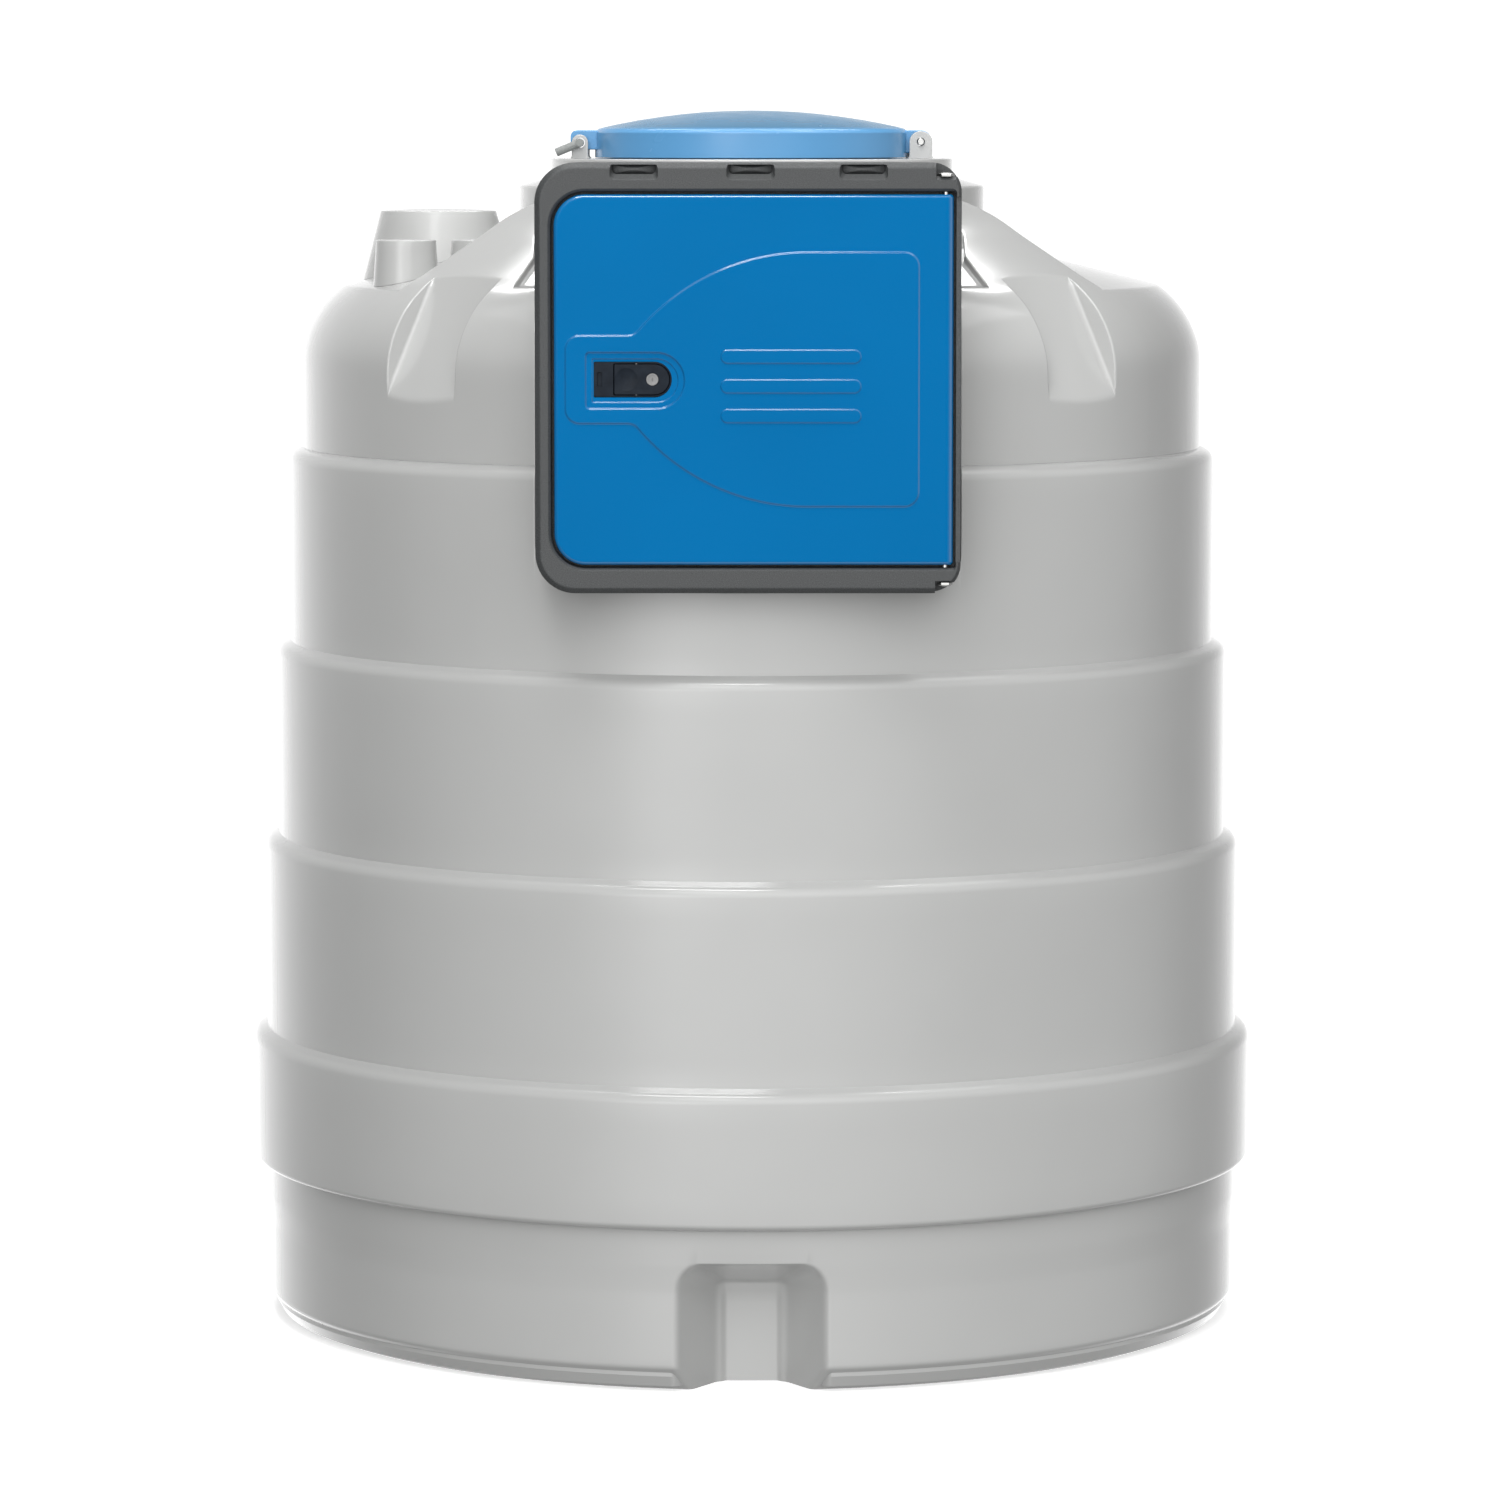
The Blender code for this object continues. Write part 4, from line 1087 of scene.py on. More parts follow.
def skin_limit():
    """A solid a hair inside the shell's inner skin, which trims what meets it."""
    line = [(0.0, 0.9), (R_BELT - STEP_R * 3 - WALL - 0.0004, 0.9), (R_BELT - STEP_R * 3 - WALL - 0.0004, SPLIT - 0.031), (0.8396, SPLIT - 0.004)]
    curve = upper_profile()
    radial = np.gradient(curve[:, 0])
    rise = np.gradient(curve[:, 1])
    size = np.hypot(radial, rise)
    nr, nz = rise / size, -radial / size
    for k in range(0, len(curve) - 8, 8):
        line.append((curve[k, 0] - nr[k] * (WALL + 0.0006), curve[k, 1] - nz[k] * (WALL + 0.0006)))
    line.append((0.0, line[-1][1] + 0.001))
    sides = 160
    turn = [2 * math.pi * k / sides for k in range(sides)]
    shape = Shape()
    loops = [shape.loop([(r * math.cos(t), r * math.sin(t), z) for t in turn]) for r, z in line[1:-1]]
    shape.strips(loops)
    shape.cap(loops[0])
    shape.cap(loops[-1])
    return shape.mesh("limit")


# ---------------------------------------------------------------- manway
def make_manway():
    z0, z1 = NECK_Z0 + GAP, NECK_Z1
    line = fillet_line(
        [
            (NECK_R, z0), (NECK_R, z1, 0.0035), (0.262, z1, 0.004), (0.262, COLLAR_Z, 0.0025), (MANWAY_R, COLLAR_Z, 0.0025),
            (MANWAY_R, z0, 0.001), (0.262, z0), (0.262, z1 - WALL), (NECK_R - WALL, z1 - WALL), (NECK_R - WALL, z0),
        ],
        steps=5, closed=True,
    )
    lathe("neck", line, 128, GREY, "tank", ("manway_neck",), sharp=40)

    top = [
        (0.0, 2.2820), (0.045, 2.2812), (0.090, 2.2790), (0.131, 2.2752), (0.171, 2.2702), (0.212, 2.2640), (0.250, 2.2568),
        (0.278, 2.2508), (0.2905, 2.2474, 0.010), (0.296, 2.2405, 0.004), (0.296, 2.1935, 0.0018), (0.2875, 2.1935, 0.0012),
        (0.287, 2.2365, 0.006), (0.248, 2.2475, 0.03), (0.170, 2.2605, 0.05), (0.090, 2.2695, 0.05), (0.0, 2.2725),
    ]
    line = fillet_line(top, steps=6)
    turn = 2 * math.pi * np.arange(160) / 160
    rows = np.stack([line[1:-1, 0:1] * np.cos(turn), line[1:-1, 0:1] * np.sin(turn), np.repeat(line[1:-1, 1:2], 160, 1)], -1)
    co, faces = wrap_rows(rows, ((0, 0, line[0][1]), (0, 0, line[-1][1])))
    shell = mesh_from("lid_look", co, faces)

    def ear(x0, x1, za, zb, left, right):
        return loose(prism_y(lambda off: rounded(x0 - off, x1 + off, za - off, zb + off, max(left + off, 0.0005), max(right + off, 0.0005), 10), -0.049, 0.049, 0.0025).mesh("ear"))

    head = 0.0213
    hinge = ear(0.2885, LID_HINGE_X + head, LID_HINGE_Z - head, LID_HINGE_Z + head, 0.004, head - 0.0002)
    lock = ear(-0.341, -0.2885, 2.2085, 2.2450, 0.0120, 0.004)
    holes = [
        loose(rod_mesh((LID_HINGE_X, -0.1, LID_HINGE_Z), (LID_HINGE_X, 0.1, LID_HINGE_Z), 0.0078, 28)),
        loose(rod_mesh((LOCK_X, -0.1, LOCK_Z), (LOCK_X, 0.1, LOCK_Z), 0.0095, 28)),
    ]
    place("lid_cover", shell, LID_BLUE, "lid", "blue_plastic", ("lid",), 42, cuts=holes, joins=[hinge, lock])

    def lug(name, x, z, half, top_z, y0, y1, hole, node):
        def outline(off):
            points = []
            base = NECK_Z1 + GAP
            flare = 0.006
            for i in range(7):
                a = math.pi / 2 * i / 6
                points.append((x + half + off + flare * (1 - math.sin(a)), base + flare * (1 - math.cos(a))))
            for i in range(19):
                a = math.pi * i / 18
                points.append((x + (half + off) * math.cos(a), z + (top_z - z + off) * math.sin(a)))
            for i in range(6, -1, -1):
                a = math.pi / 2 * i / 6
                points.append((x - half - off - flare * (1 - math.sin(a)), base + flare * (1 - math.cos(a))))
            return points

        mesh = prism_y(outline, y0, y1, 0.0018).mesh(name)
        bore = loose(rod_mesh((x, y0 - 0.01, z), (x, y1 + 0.01, z), hole, 28))
        place(name, mesh, GREY, "tank", "tank_plastic", (node,), 42, cuts=[bore])

    lug("lug_hinge_front", LID_HINGE_X, LID_HINGE_Z, 0.0215, 2.2435, -0.067, -0.055, 0.0078, "hinge_lug_front")
    lug("lug_hinge_rear", LID_HINGE_X, LID_HINGE_Z, 0.0215, 2.2435, 0.055, 0.067, 0.0078, "hinge_lug_rear")
    lug("lug_lock_front", LOCK_X, LOCK_Z, 0.0155, 2.2370, -0.067, -0.055, 0.0095, "lock_lug_front")
    lug("lug_lock_rear", LOCK_X, LOCK_Z, 0.0155, 2.2370, 0.055, 0.067, 0.0095, "lock_lug_rear")

    place("lid_pin", rod_mesh((LID_HINGE_X, -0.074, LID_HINGE_Z), (LID_HINGE_X, 0.074, LID_HINGE_Z), 0.0062, 28, 0.0012), STEEL, "tank", "zinc_steel", ("lid_hinge_pin",), 40)
    pin = rod_mesh((LOCK_X, -0.0540, LOCK_Z), (LOCK_X, -0.086, LOCK_Z), 0.0078, 28, 0.0012)
    handle = rod_mesh((LOCK_X + 0.004, -0.0775, LOCK_Z + 0.0016), (LOCK_X - 0.0445, -0.0775, LOCK_Z - 0.0185), 0.0078, 28, 0.0012)
    place("lock_pin", pin, PIN_GREY, "tank", "dark_plastic", ("lid_lock_pin",), 40, joins=[loose(handle)])


# ---------------------------------------------------------------- caps
def make_caps():
    def cap(name, x, y, top_r, base_r, top_z, lip, sides):
        foot = LAND_Z + (LAND_R - math.hypot(x, y)) * LAND_SLOPE
        slope = (base_r - top_r) / (top_z - (foot - 0.03))
        rows = []
        turn = 2 * math.pi * np.arange(sides) / sides
        line = fillet_line(
            [(base_r, foot - 0.03), (top_r + 0.0006, top_z - 0.0012, lip), (top_r - 0.014, top_z, 0.002), (top_r - 0.020, top_z - 0.0012, 0.002), (0.001, top_z - 0.0012)],
            steps=5,
        )
        px, py = x + base_r * np.cos(turn), y + base_r * np.sin(turn)
        for _ in range(12):
            land = LAND_Z + (LAND_R - np.hypot(px, py)) * LAND_SLOPE + GAP
            r = top_r + slope * (top_z - land)
            px, py = x + r * np.cos(turn), y + r * np.sin(turn)
        land = LAND_Z + (LAND_R - np.hypot(px, py)) * LAND_SLOPE + GAP
        rows.append(np.stack([px, py, land], -1))
        first = line[1]
        for share in (0.25, 0.5, 0.75):
            z = land + (first[1] - land) * share
            r = top_r + slope * (top_z - z)
            rows.append(np.stack([x + r * np.cos(turn), y + r * np.sin(turn), z], -1))
        for r, z in line[1:]:
            rows.append(np.stack([x + r * np.cos(turn), y + r * np.sin(turn), np.full(sides, z)], -1))
        low = LAND_Z + (LAND_R - math.hypot(x, y)) * LAND_SLOPE + GAP
        inner = []
        for share in (0.02, 0.5):
            qx, qy = x + (px - x) * share, y + (py - y) * share
            inner.append(np.stack([qx, qy, LAND_Z + (LAND_R - np.hypot(qx, qy)) * LAND_SLOPE + GAP], -1))
        co, faces = wrap_rows(inner + rows, ((x, y, low), (x, y, top_z - 0.0012)))
        finish_mesh(name + "_look", mesh_from(name, co, faces), GREY, "tank", (name,), 40)

    cap("fill_cap", -0.594, 0.020, 0.109, 0.142, 2.0943, 0.0030, 96)
    cap("vent_cap_outer", -0.640, -0.272, 0.0553, 0.0622, 2.0440, 0.0022, 72)
    cap("vent_cap_inner", -0.500, -0.272, 0.0553, 0.0622, 2.0440, 0.0022, 72)


# ---------------------------------------------------------------- cabinet
def make_cabinet():
    def outer(off):
        return rounded(CAB_X0 - off, CAB_X1 + 0.5 * off, CAB_Z0 - off, CAB_Z1 + off, 0.070 + off, 0.052 + off, 14)

    def opening(off):
        return rounded(-0.3519 - off, 0.3585 + 0.15 * off, 1.481 - off, 2.140 + off, 0.060 + off, max(0.004 + off, 0.001), 14)

    def through(off):
        return rounded(-0.3325 - off, 0.324 + off, 1.500 - off, 2.121 + off, 0.045 + off, 0.010 + off, 14)

    shape = Shape()
    stations = [
        (FRAME_BACK, outer(0)), (-0.9395, outer(0)), (-0.9408, outer(-0.0004)), (-0.9418, outer(-0.0012)),
        (-0.9482, outer(-0.0074)), (-0.9492, outer(-0.0086)), (-0.9498, outer(-0.0100)), (-0.9500, outer(-0.0116)),
        (-0.9500, opening(0.0056)), (-0.9497, opening(0.0048)), (-0.9490, opening(0.0040)), (-0.9462, opening(0.0012)),
        (-0.9452, opening(0.0004)), (-0.9440, opening(0)), (-0.9195, opening(0)), (-0.9187, opening(-0.0008)),
        (-0.9185, opening(-0.0020)), (-0.9185, through(0.0015)), (-0.9181, through(0.0004)), (-0.9170, through(0)),
        (FRAME_BACK, through(0)),
    ]
    loops = [shape.front(points, y) for y, points in stations]
    shape.strips(loops, closed=True)
    mesh = shape.mesh("frame_look")

    def pocket(cx):
        """A shallow grip slot under the top edge, with a sloping lip and a swelling in its back."""
        cut = Shape()
        high = CAB_Z1 - 0.0034
        rows = []
        for y, half, low, corner in (
            (-0.9600, 0.0432, CAB_Z1 - 0.0324, 0.0085), (-0.9503, 0.0427, CAB_Z1 - 0.0312, 0.0085), (-0.9497, 0.0422, CAB_Z1 - 0.0304, 0.0085),
            (-0.9490, 0.0417, CAB_Z1 - 0.0297, 0.0085), (-0.9402, 0.0388, CAB_Z1 - 0.0205, 0.0075), (-0.9396, 0.0386, CAB_Z1 - 0.0200, 0.0075),
            (-0.9388, 0.0384, CAB_Z1 - 0.0198, 0.0075), (-0.9290, 0.0380, CAB_Z1 - 0.0196, 0.0070),
        ):
            rows.append(cut.front(rounded(cx - half, cx + half, low, high, 0.0022, 0.0022, 6, corner, corner), y))
        middle = (CAB_Z1 - 0.0196 + high) / 2
        edge = rounded(cx - 0.0380, cx + 0.0380, CAB_Z1 - 0.0196, high, 0.0022, 0.0022, 6, 0.0070, 0.0070)
        for share in (0.88, 0.74, 0.58, 0.40, 0.20):
            rows.append(cut.front([(cx + (x - cx) * share, middle + (z - middle) * share) for x, z in edge], -0.9290 - 0.0085 * (1 - share**2)))
        cut.strips(rows)
        cut.cap(rows[0])
        cut.cap(rows[-1])
        return loose(cut.mesh("pocket"))

    def end_pocket(seat, edge, far):
        """The space round a hinge bolt's head, with a sloping lip in front of its seat."""
        cut = Shape()
        side = 1 if far > seat else -1
        rows = []
        for y, z in ((-0.9600, edge - 0.004 * side), (-0.9503, edge - 0.0005 * side), (-0.9497, edge), (-0.9440, seat - 0.0004 * side), (-0.9434, seat), (-0.9000, seat)):
            rows.append(cut.loop([(0.3225, y, z), (0.4000, y, z), (0.4000, y, far), (0.3225, y, far)]))
        cut.strips(rows)
        cut.cap(rows[0])
        cut.cap(rows[-1])
        return loose(cut.mesh("pocket"))

    cuts = [cutter_box((0.3502, 0.40), (-1.0, -0.9425), (DOOR_Z0 + 0.004, DOOR_Z1 - 0.004))]
    cuts += [pocket(x) for x in (-0.2058, -0.0016, 0.196)]
    top_seat, low_seat = CAB_Z1 - 0.0245, CAB_Z0 + 0.0195
    cuts += [end_pocket(top_seat, CAB_Z1 - 0.0305, 2.3), end_pocket(low_seat, CAB_Z0 + 0.0225, 1.3)]
    place("cabinet_door_frame", mesh, DARK, "tank", "dark_plastic", ("cabinet_frame",), 40, cuts=cuts)

    def side(off):
        return rounded(CAB_X0 + 0.002 - off, CAB_X1 - 0.002 + off, CAB_Z0 + 0.002 - off, CAB_Z1 - 0.002 + off, 0.068 + off, 0.050 + off, 14)

    shape = Shape()
    y0, y1 = FRAME_BACK + GAP, -0.484
    loops = [shape.front(side(0), y0), shape.front(side(0), y1), shape.front(side(-0.006), y1), shape.front(side(-0.006), y0)]
    shape.strips(loops, closed=True)
    place("cabinet_sides", shape.mesh("sides"), DARK, "tank", "dark_plastic", ("cabinet_housing",), 40)
    back = prism_y(lambda off: side(off), y1 + GAP, -0.478, 0.0012)
    place("cabinet_rear_plate", back.mesh("rear"), DARK, "tank", "dark_plastic", ("cabinet_back",), 40)

    def hexagon(name, seat, height, radius, node, side):
        """A hexagon head whose end is domed, so that each flat ends in an arc."""
        shape = Shape()
        loops = []
        for z, r in ((0.0, radius * 0.975), (0.0005, radius), (height + 0.004, radius)):
            loops.append(shape.loop([
                (HINGE_X + r * math.cos(math.pi / 3 * k), HINGE_Y + r * math.sin(math.pi / 3 * k), seat + side * z) for k in range(6)
            ]))
        shape.strips(loops)
        shape.cap(loops[0])
        shape.cap(loops[-1])
        line = [(-0.004, radius * 1.02)]
        for k in range(13):
            t = k / 12
            line.append((height * (1 - 0.62 * (1 - t) ** 2), radius * 1.02 * (1 - t) + 0.0008))
        dome = Shape()
        rows = []
        for z, r in line:
            rows.append(dome.loop([
                (HINGE_X + r * math.cos(math.pi / 24 * k), HINGE_Y + r * math.sin(math.pi / 24 * k), seat + side * z) for k in range(48)
            ]))
        dome.strips(rows)
        dome.cap(rows[0])
        dome.cap(rows[-1])
        head = loose(shape.mesh(name))
        boolean(head, loose(dome.mesh("dome")), "INTERSECT")
        mesh = head.data
        bpy.data.objects.remove(head, do_unlink=True)
        place(name, mesh, STEEL, "tank", "zinc_steel", (node,), 34)

    hexagon("bolt_head_top", top_seat + GAP, 0.0074, 0.0155, "hinge_bolt_top", 1)
    hexagon("bolt_head_low", low_seat - GAP, 0.0070, 0.0135, "hinge_bolt_low", -1)
    place("pin_top", rod_mesh((HINGE_X, HINGE_Y, 2.140 - GAP), (HINGE_X, HINGE_Y, DOOR_Z1 - 0.018), 0.0055, 24, 0.0006), STEEL, "tank", "zinc_steel", ("hinge_pin_top",), 40)
    place("pin_low", rod_mesh((HINGE_X, HINGE_Y, 1.481 + GAP), (HINGE_X, HINGE_Y, DOOR_Z0 + 0.018), 0.0055, 24, 0.0006), STEEL, "tank", "zinc_steel", ("hinge_pin_low",), 40)
    inner = CAB_X0 + 0.008
    plate = prism_y(lambda off: rounded(inner + GAP - off, inner + 0.003 + off, LATCH_Z - 0.045 - off, LATCH_Z + 0.045 + off, 0.0011 + off, 0.0011 + off, 3), -0.8870, -0.845, 0.0006)
    place("keeper", plate.mesh("keeper"), STEEL, "tank", "zinc_steel", ("latch_keeper",), 40)


# ---------------------------------------------------------------- door and latch
FIELD_HALF = 0.2226


def field_outline(off):
    """The raised field: a straight right end, two bows and a tab round the latch."""
    upper = []

    def arc(cx, cz, radius, a0, a1, count, skip=0):
        for i in range(skip, count + 1):
            a = math.radians(a0 + (a1 - a0) * i / count)
            upper.append((cx + radius * math.cos(a), cz + radius * math.sin(a)))

    arc(0.2675, FIELD_HALF - 0.026, 0.026 + off, 0, 90, 10)
    arc(0.098, FIELD_HALF - 0.390, 0.390 + off, 90, 139.6, 44)
    arc(-0.2172, 0.101, 0.024 - off, -40.4, -90, 9, 1)
    arc(-0.3010, 0.0515, 0.0255 + off, 90, 180, 10)
    return [(x, LATCH_Z + z) for x, z in upper] + [(x, LATCH_Z - z) for x, z in reversed(upper)]


def bullet(x0, x1, half, z=LATCH_Z, corner=0.0025, steps=14):
    def outline(off):
        tall = half + off
        return rounded(x0 - off, x1 + off, z - tall, z + tall, max(corner + off, 0.0004), tall - 0.0001, steps)

    return outline


def make_door():
    front, back = DOOR_FRONT, DOOR_BACK
    rim, rear = 0.008, 0.003

    def ring(y):
        d, e = y - front, back - y
        inset = 0.0
        if d < rim:
            inset = rim - math.sqrt(max(rim**2 - (rim - d) ** 2, 0))
        elif e < rear:
            inset = rear - math.sqrt(max(rear**2 - (rear - e) ** 2, 0))
        right = HINGE_X + math.sqrt(max(0.014**2 - (y - HINGE_Y) ** 2, 0))
        return rounded(DOOR_X0 + inset, right, DOOR_Z0 + inset, DOOR_Z1 - inset, 0.055 - inset, max(0.0055 - 0.5 * inset, 0.0015), 14)

    shape = Shape()
    angles = [0, 5, 11, 18, 25, 33, 42, 52, 64.6, 78, 90, 104, 118, 132, 141.8, 150, 158, 166, 173, 180]
    loops = []
    for a in angles:
        y = min(max(front + 0.014 * (1 - math.cos(math.radians(a))), front), back)
        loops.append(shape.front(ring(y), y))
    shape.strips(loops)

    step = s_curve(0.0040, 0.0030, 50, 0.003)
    field = [shape.front(field_outline(o), front - h) for o, h in step]
    shape.strips(field)
    shape.fill([loops[0], field[0]])
    top = front - 0.003

    ribs = []
    for z in (1.748, 1.800, 1.852):
        soft = s_curve(0.0015, 0.0020, 62, 0.0025)
        made = [shape.front(rounded(-0.0535 - o, 0.1915 + o, z - 0.0115 - o, z + 0.0115 + o, 0.0113 + o, 0.0113 + o, 10), top - h) for o, h in soft]
        shape.strips(made)
        shape.cap(made[-1])
        ribs.append(made[0])

    # Recess round the latch: two small steps down to the seat.
    def recess(off):
        return rounded(-0.2905 - off, -0.1175 + off, LATCH_Z - 0.0510 - off, LATCH_Z + 0.0475 + off, max(0.0065 + off, 0.0012), 0.04915 + off, 16)

    line = s_curve(0.0026, 0.0022, 72, 0.0042)
    second = [(o - 0.0112, 0.0042 + h) for o, h in s_curve(0.0016, 0.0014, 72, 0.0028)]
    well = [shape.front(recess(o), top + h) for o, h in line + second]
    shape.strips(well)
    shape.fill([field[-1], well[0]] + ribs)
    seat = bullet(-0.2766, -0.1396, 0.0308 + 0.0006)
    hole = [shape.front(seat(0.0), top + 0.0070), shape.front(seat(0.0), back)]
    shape.strips(hole)
    shape.fill([well[-1], hole[0]])
    shape.fill([loops[-1], hole[1]])
    mesh = shape.mesh("door_look")
    holes = [
        loose(rod_mesh((HINGE_X, HINGE_Y, DOOR_Z1 - 0.022), (HINGE_X, HINGE_Y, DOOR_Z1 + 0.02), 0.0070, 24)),
        loose(rod_mesh((HINGE_X, HINGE_Y, DOOR_Z0 - 0.02), (HINGE_X, HINGE_Y, DOOR_Z0 + 0.022), 0.0070, 24)),
    ]
    place("door_leaf", mesh, BLUE, "door", "blue_plastic", ("door_panel",), 40, cuts=holes)

    face = front + 0.0035
    shape = Shape()
    plate = bullet(-0.2766, -0.1396, 0.0308)
    edge = [shape.front(plate(-r), face + d) for r, d in ((0.0010, 0.0), (0.0004, 0.0002), (0.0, 0.0009))]
    edge.append(shape.front(plate(0), face + 0.034))
    shape.strips(edge)
    cup = bullet(-0.2420, -0.1424, 0.0280)
    deep = [shape.front(cup(o), face + d) for o, d in ((0.0006, 0.0), (0.0, 0.0006), (0.0, 0.024))]
    shape.strips(deep)
    shape.cap(deep[-1])
    slot = [shape.front(rounded(-0.2702 - o, -0.2622 + o, LATCH_Z - 0.0125 - o, LATCH_Z + 0.0125 + o, 0.0012 + o, 0.0012 + o, 4), face + d)
            for o, d in ((0.0005, 0.0), (0.0, 0.0005), (0.0, 0.004))]
    shape.strips(slot)
    shape.cap(slot[-1])
    shape.fill([edge[0], deep[0], slot[0]])
    shape.cap(edge[-1])
    place("latch_body", shape.mesh("latch_body"), BLACK, "door", "latch_plastic", ("latch_housing",), 40)

    shape = Shape()
    leaf = bullet(-0.2405, -0.1439, 0.0265)
    y0, y1 = face + 0.0005, face + 0.0065
    outer = [shape.front(leaf(-0.0009 * (1 - math.sin(a))), y0 + 0.0009 * (1 - math.cos(a))) for a in (0, 0.4, 0.8, 1.2, math.pi / 2)]
    outer.append(shape.front(leaf(0), y1))
    shape.strips(outer)

    def circle(cx, radius, sides=40):
        return [(cx + radius * math.cos(2 * math.pi * k / sides), LATCH_Z + radius * math.sin(2 * math.pi * k / sides)) for k in range(sides)]

    dish = [shape.front(circle(-0.2193, 0.0203), y0), shape.front(circle(-0.2193, 0.0198), y0 + 0.0002)]
    for k in range(1, 9):
        r = 0.0198 * (1 - k / 8.5)
        dish.append(shape.front(circle(-0.2193, r), y0 + 0.0002 + 0.0022 * (1 - (r / 0.0198) ** 2)))
    shape.strips(dish)
    shape.cap(dish[-1])
    bore = [shape.front(circle(-0.1738, r), y) for r, y in ((0.0118, y0), (0.0112, y0 + 0.0005), (0.0111, y1))]
    shape.strips(bore)
    shape.fill([outer[0], dish[0], bore[0]])
    shape.fill([outer[-1], bore[-1]])
    place("latch_rocker", shape.mesh("latch_rocker"), BLACK, "paddle", "latch_plastic", ("latch_paddle",), 40)

    cx, y0 = -0.1738, face + 0.0002
    body = turned_y(cx, LATCH_Z, [(0.0040, y0 + 0.0009), (0.0044, y0 + 0.0007), (0.0072, y0 + 0.0006), (0.0078, y0 + 0.0001), (0.0100, y0), (0.0105, y0 + 0.0002), (0.0107, y0 + 0.0008), (0.0107, face + 0.0105)], 40)
    keyway = cutter_box((cx - 0.0006, cx + 0.0006), (y0 - 0.004, y0 + 0.0040), (LATCH_Z - 0.0034, LATCH_Z + 0.0034))
    place("lock_barrel", body, LOCK_GREY, "paddle", "zinc_steel", ("lock_cylinder",), 40, cuts=[keyway])
    place("rocker_pin", rod_mesh((-0.2020, face + 0.0090, LATCH_Z - 0.0277), (-0.2020, face + 0.0090, LATCH_Z + 0.0277), 0.0022, 16), STEEL, "door", "zinc_steel", ("latch_pivot",), 40)
    case_y = face + 0.034 + GAP
    case = prism_y(lambda off: rounded(-0.2760 - off, -0.2150 + off, LATCH_Z - 0.021 - off, LATCH_Z + 0.021 + off, 0.003 + off, 0.003 + off, 5), case_y, -0.8690, 0.0015)
    place("latch_gear_case", case.mesh("case"), BLACK, "door", "latch_plastic", ("latch_case",), 40)
    bolt = prism_y(lambda off: rounded(-0.3230 - off, -0.2760 - GAP + off, LATCH_Z - 0.012 - off, LATCH_Z + 0.012 + off, 0.002 + off, 0.001 + off, 4), -0.8830, -0.8720, 0.0008)
    place("latch_tongue", bolt.mesh("bolt"), STEEL, "door", "zinc_steel", ("latch_bolt",), 40)


make_lower_shell()
make_upper_shell()
make_recess(skin_limit())
make_manway()
make_caps()
make_cabinet()
make_door()

LOOKS = {
    "tank_plastic": GREY, "blue_plastic": BLUE, "dark_plastic": DARK, "latch_plastic": BLACK, "zinc_steel": STEEL,
}
for part in frame["record"]["subparts"]:
    node = frame["nodes"][part["node"]]
    node.data.materials.clear()
    node.data.materials.append(LOOKS[part["material_slot"]])


# ---------------------------------------------------------------- stage, light and camera
# Soft light of the studio by direction: (turn from the front towards the right, height, tightness, weight).
GLOWS = [
    (0, 28, 6.0, 2.95), (60, 45, 6.0, 0.52), (90, 5, 6.0, 0.72), (-135, 5, 6.0, 0.64), (180, 5, 6.0, 0.10),
    (0, -35, 4.0, 1.00), (180, -25, 4.0, 1.47), (-20, 6, 42.0, 3.1),
]
# Soft boxes: (name, turn, height, distance from the tank, size, watts).
LAMPS = [
    ("key_high", -18, 62, 6.0, (2.4, 0.9), 104), ("key_front", -12, 38, 6.5, (1.6, 2.6), 28),
    ("overhead", 0, 88, 5.0, (4.0, 0.4), 66), ("overhead_rear", 180, 65, 5.5, (5.2, 0.7), 126),
    ("overhead_left", -75, 66, 5.0, (2.5, 2.5), 14), ("overhead_right", 75, 66, 5.0, (2.5, 2.5), 30),
]


def bearing(az, el):
    a, e = math.radians(az), math.radians(el)
    return (math.sin(a) * math.cos(e), -math.cos(a) * math.cos(e), math.sin(e))


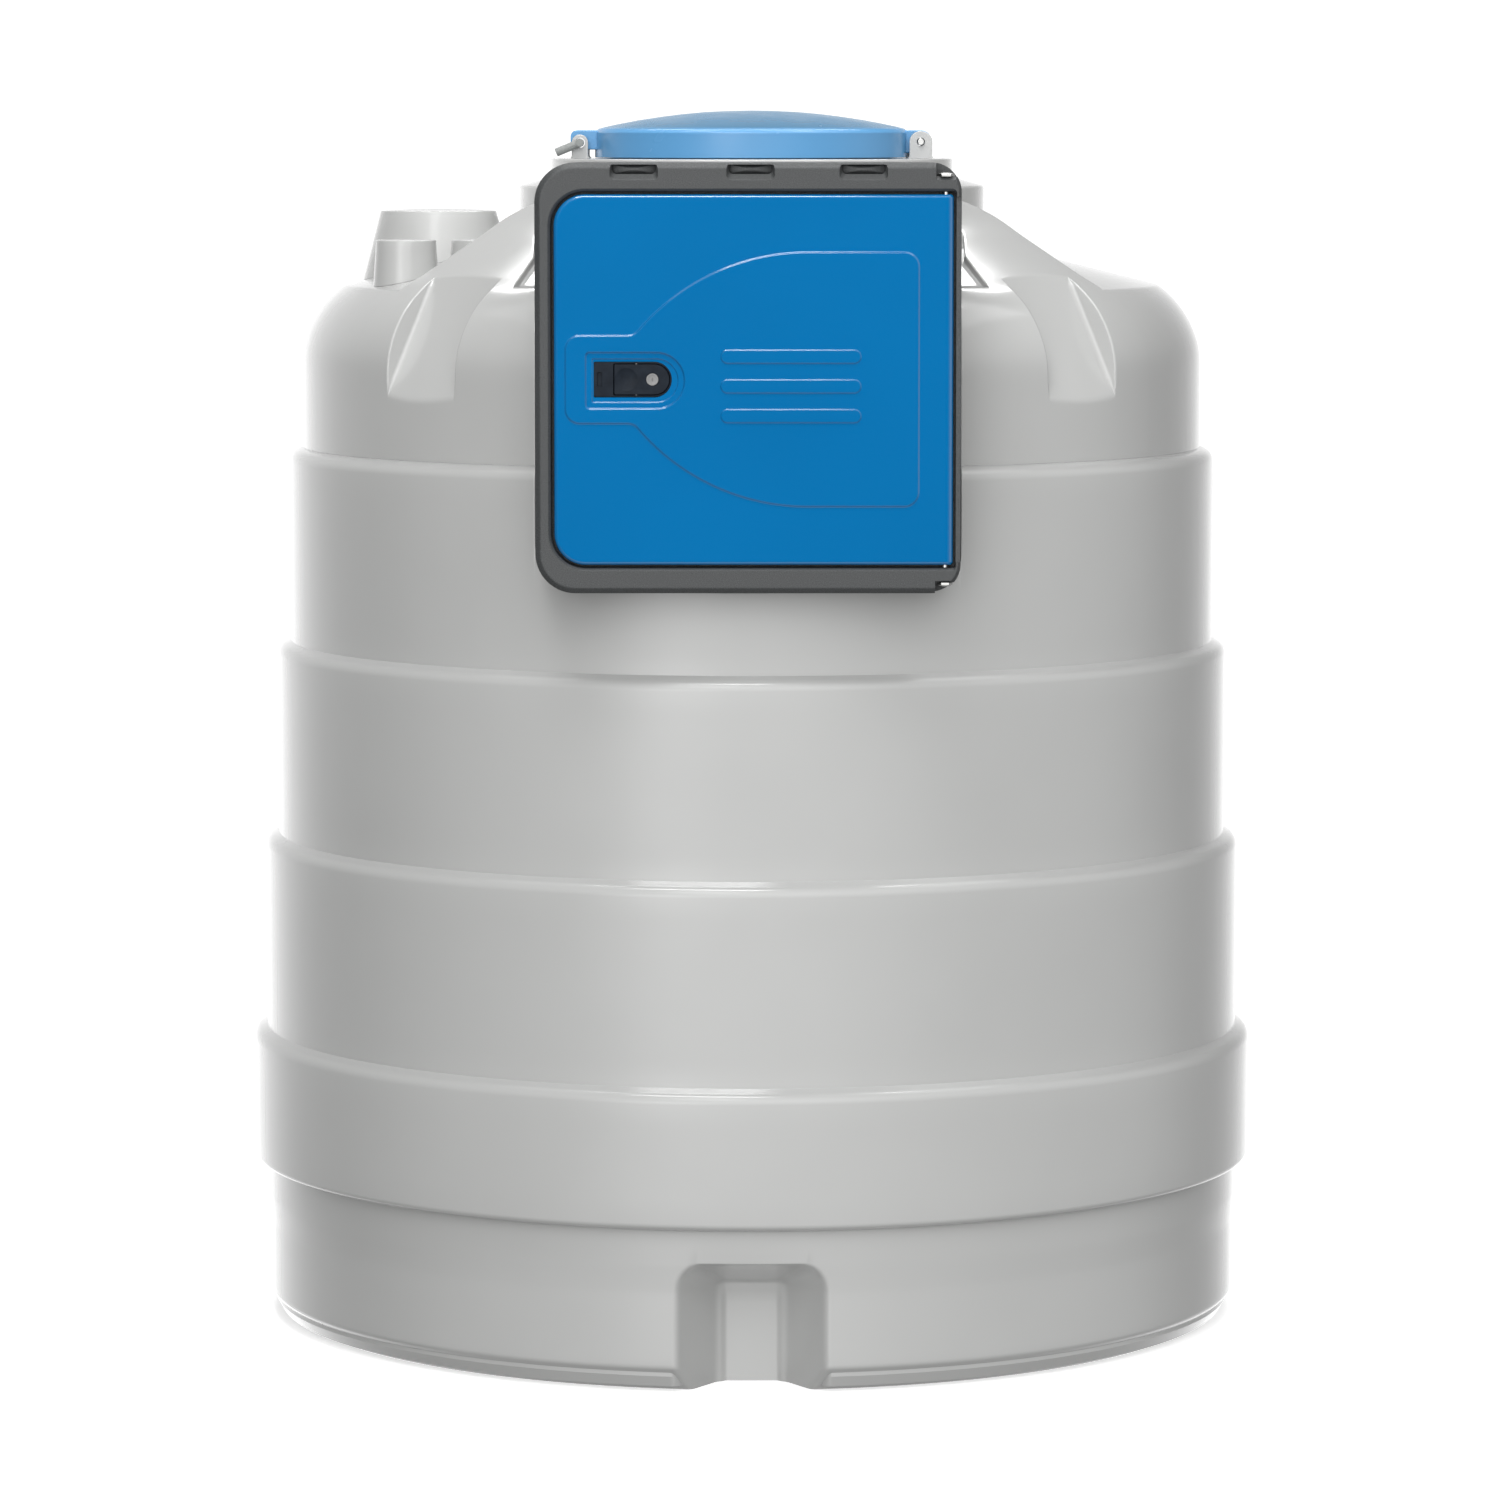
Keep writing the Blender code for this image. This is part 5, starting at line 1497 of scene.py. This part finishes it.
def make_stage():
    mesh = bpy.data.meshes.new("studio_floor")
    mesh.from_pydata([(-30, -30, -0.0006), (30, -30, -0.0006), (30, 30, -0.0006), (-30, 30, -0.0006)], [], [(0, 1, 2, 3)])
    floor = bpy.data.objects.new("studio_floor", mesh)
    bpy.context.scene.collection.objects.link(floor)
    made, tree, shader = new_material("studio_floor")
    shader.inputs["Base Color"].default_value = (0.93, 0.93, 0.93, 1)
    shader.inputs["Roughness"].default_value = 0.9
    shader.inputs["Specular IOR Level"].default_value = 0.0
    shader.inputs["Emission Color"].default_value = (1, 1, 1, 1)
    shader.inputs["Emission Strength"].default_value = 0.50
    mesh.materials.append(made)
    floor.visible_diffuse = False
    floor.visible_glossy = False
    floor.visible_shadow = False

    world = bpy.data.worlds.new("studio")
    bpy.context.scene.world = world
    world.use_nodes = True
    tree = world.node_tree
    where = tree.nodes.new("ShaderNodeTexCoord")

    def math_node(operation, first, second, clamp=False):
        made = tree.nodes.new("ShaderNodeMath")
        made.operation = operation
        made.use_clamp = clamp
        for socket, value in zip(made.inputs, (first, second)):
            if isinstance(value, (int, float)):
                socket.default_value = value
            else:
                tree.links.new(value, socket)
        return made.outputs[0]

    total = None
    for az, el, power, weight in GLOWS:
        dot = tree.nodes.new("ShaderNodeVectorMath")
        dot.operation = "DOT_PRODUCT"
        dot.inputs[1].default_value = bearing(az, el)
        tree.links.new(where.outputs["Generated"], dot.inputs[0])
        glow = math_node("MULTIPLY", math_node("POWER", math_node("ADD", dot.outputs["Value"], 0.0, True), power), weight)
        total = glow if total is None else math_node("ADD", total, glow)
    back = tree.nodes["Background"]
    tree.links.new(total, back.inputs["Color"])
    back.inputs["Strength"].default_value = 1.0

    for name, az, el, far, size, power in LAMPS:
        data = bpy.data.lights.new(name, "AREA")
        data.shape = "RECTANGLE"
        data.size, data.size_y = size
        data.energy = power
        obj = bpy.data.objects.new(name, data)
        bpy.context.scene.collection.objects.link(obj)
        obj.location = Vector((0, 0, 1.2)) + far * Vector(bearing(az, el))
        obj.rotation_euler = (Vector((0, 0, 1.2)) - obj.location).to_track_quat("-Z", "Y").to_euler()

    data = bpy.data.cameras.new("camera")
    data.lens = 153.3
    data.sensor_width = 36.0
    data.clip_end = 100
    camera = bpy.data.objects.new("camera", data)
    bpy.context.scene.collection.objects.link(camera)
    camera.location = (-0.0027, -12.146, 2.265)
    camera.rotation_euler = (math.radians(90 - 5.637), 0, 0)
    bpy.context.scene.camera = camera
    bpy.context.scene.view_settings.view_transform = "Standard"


make_stage()
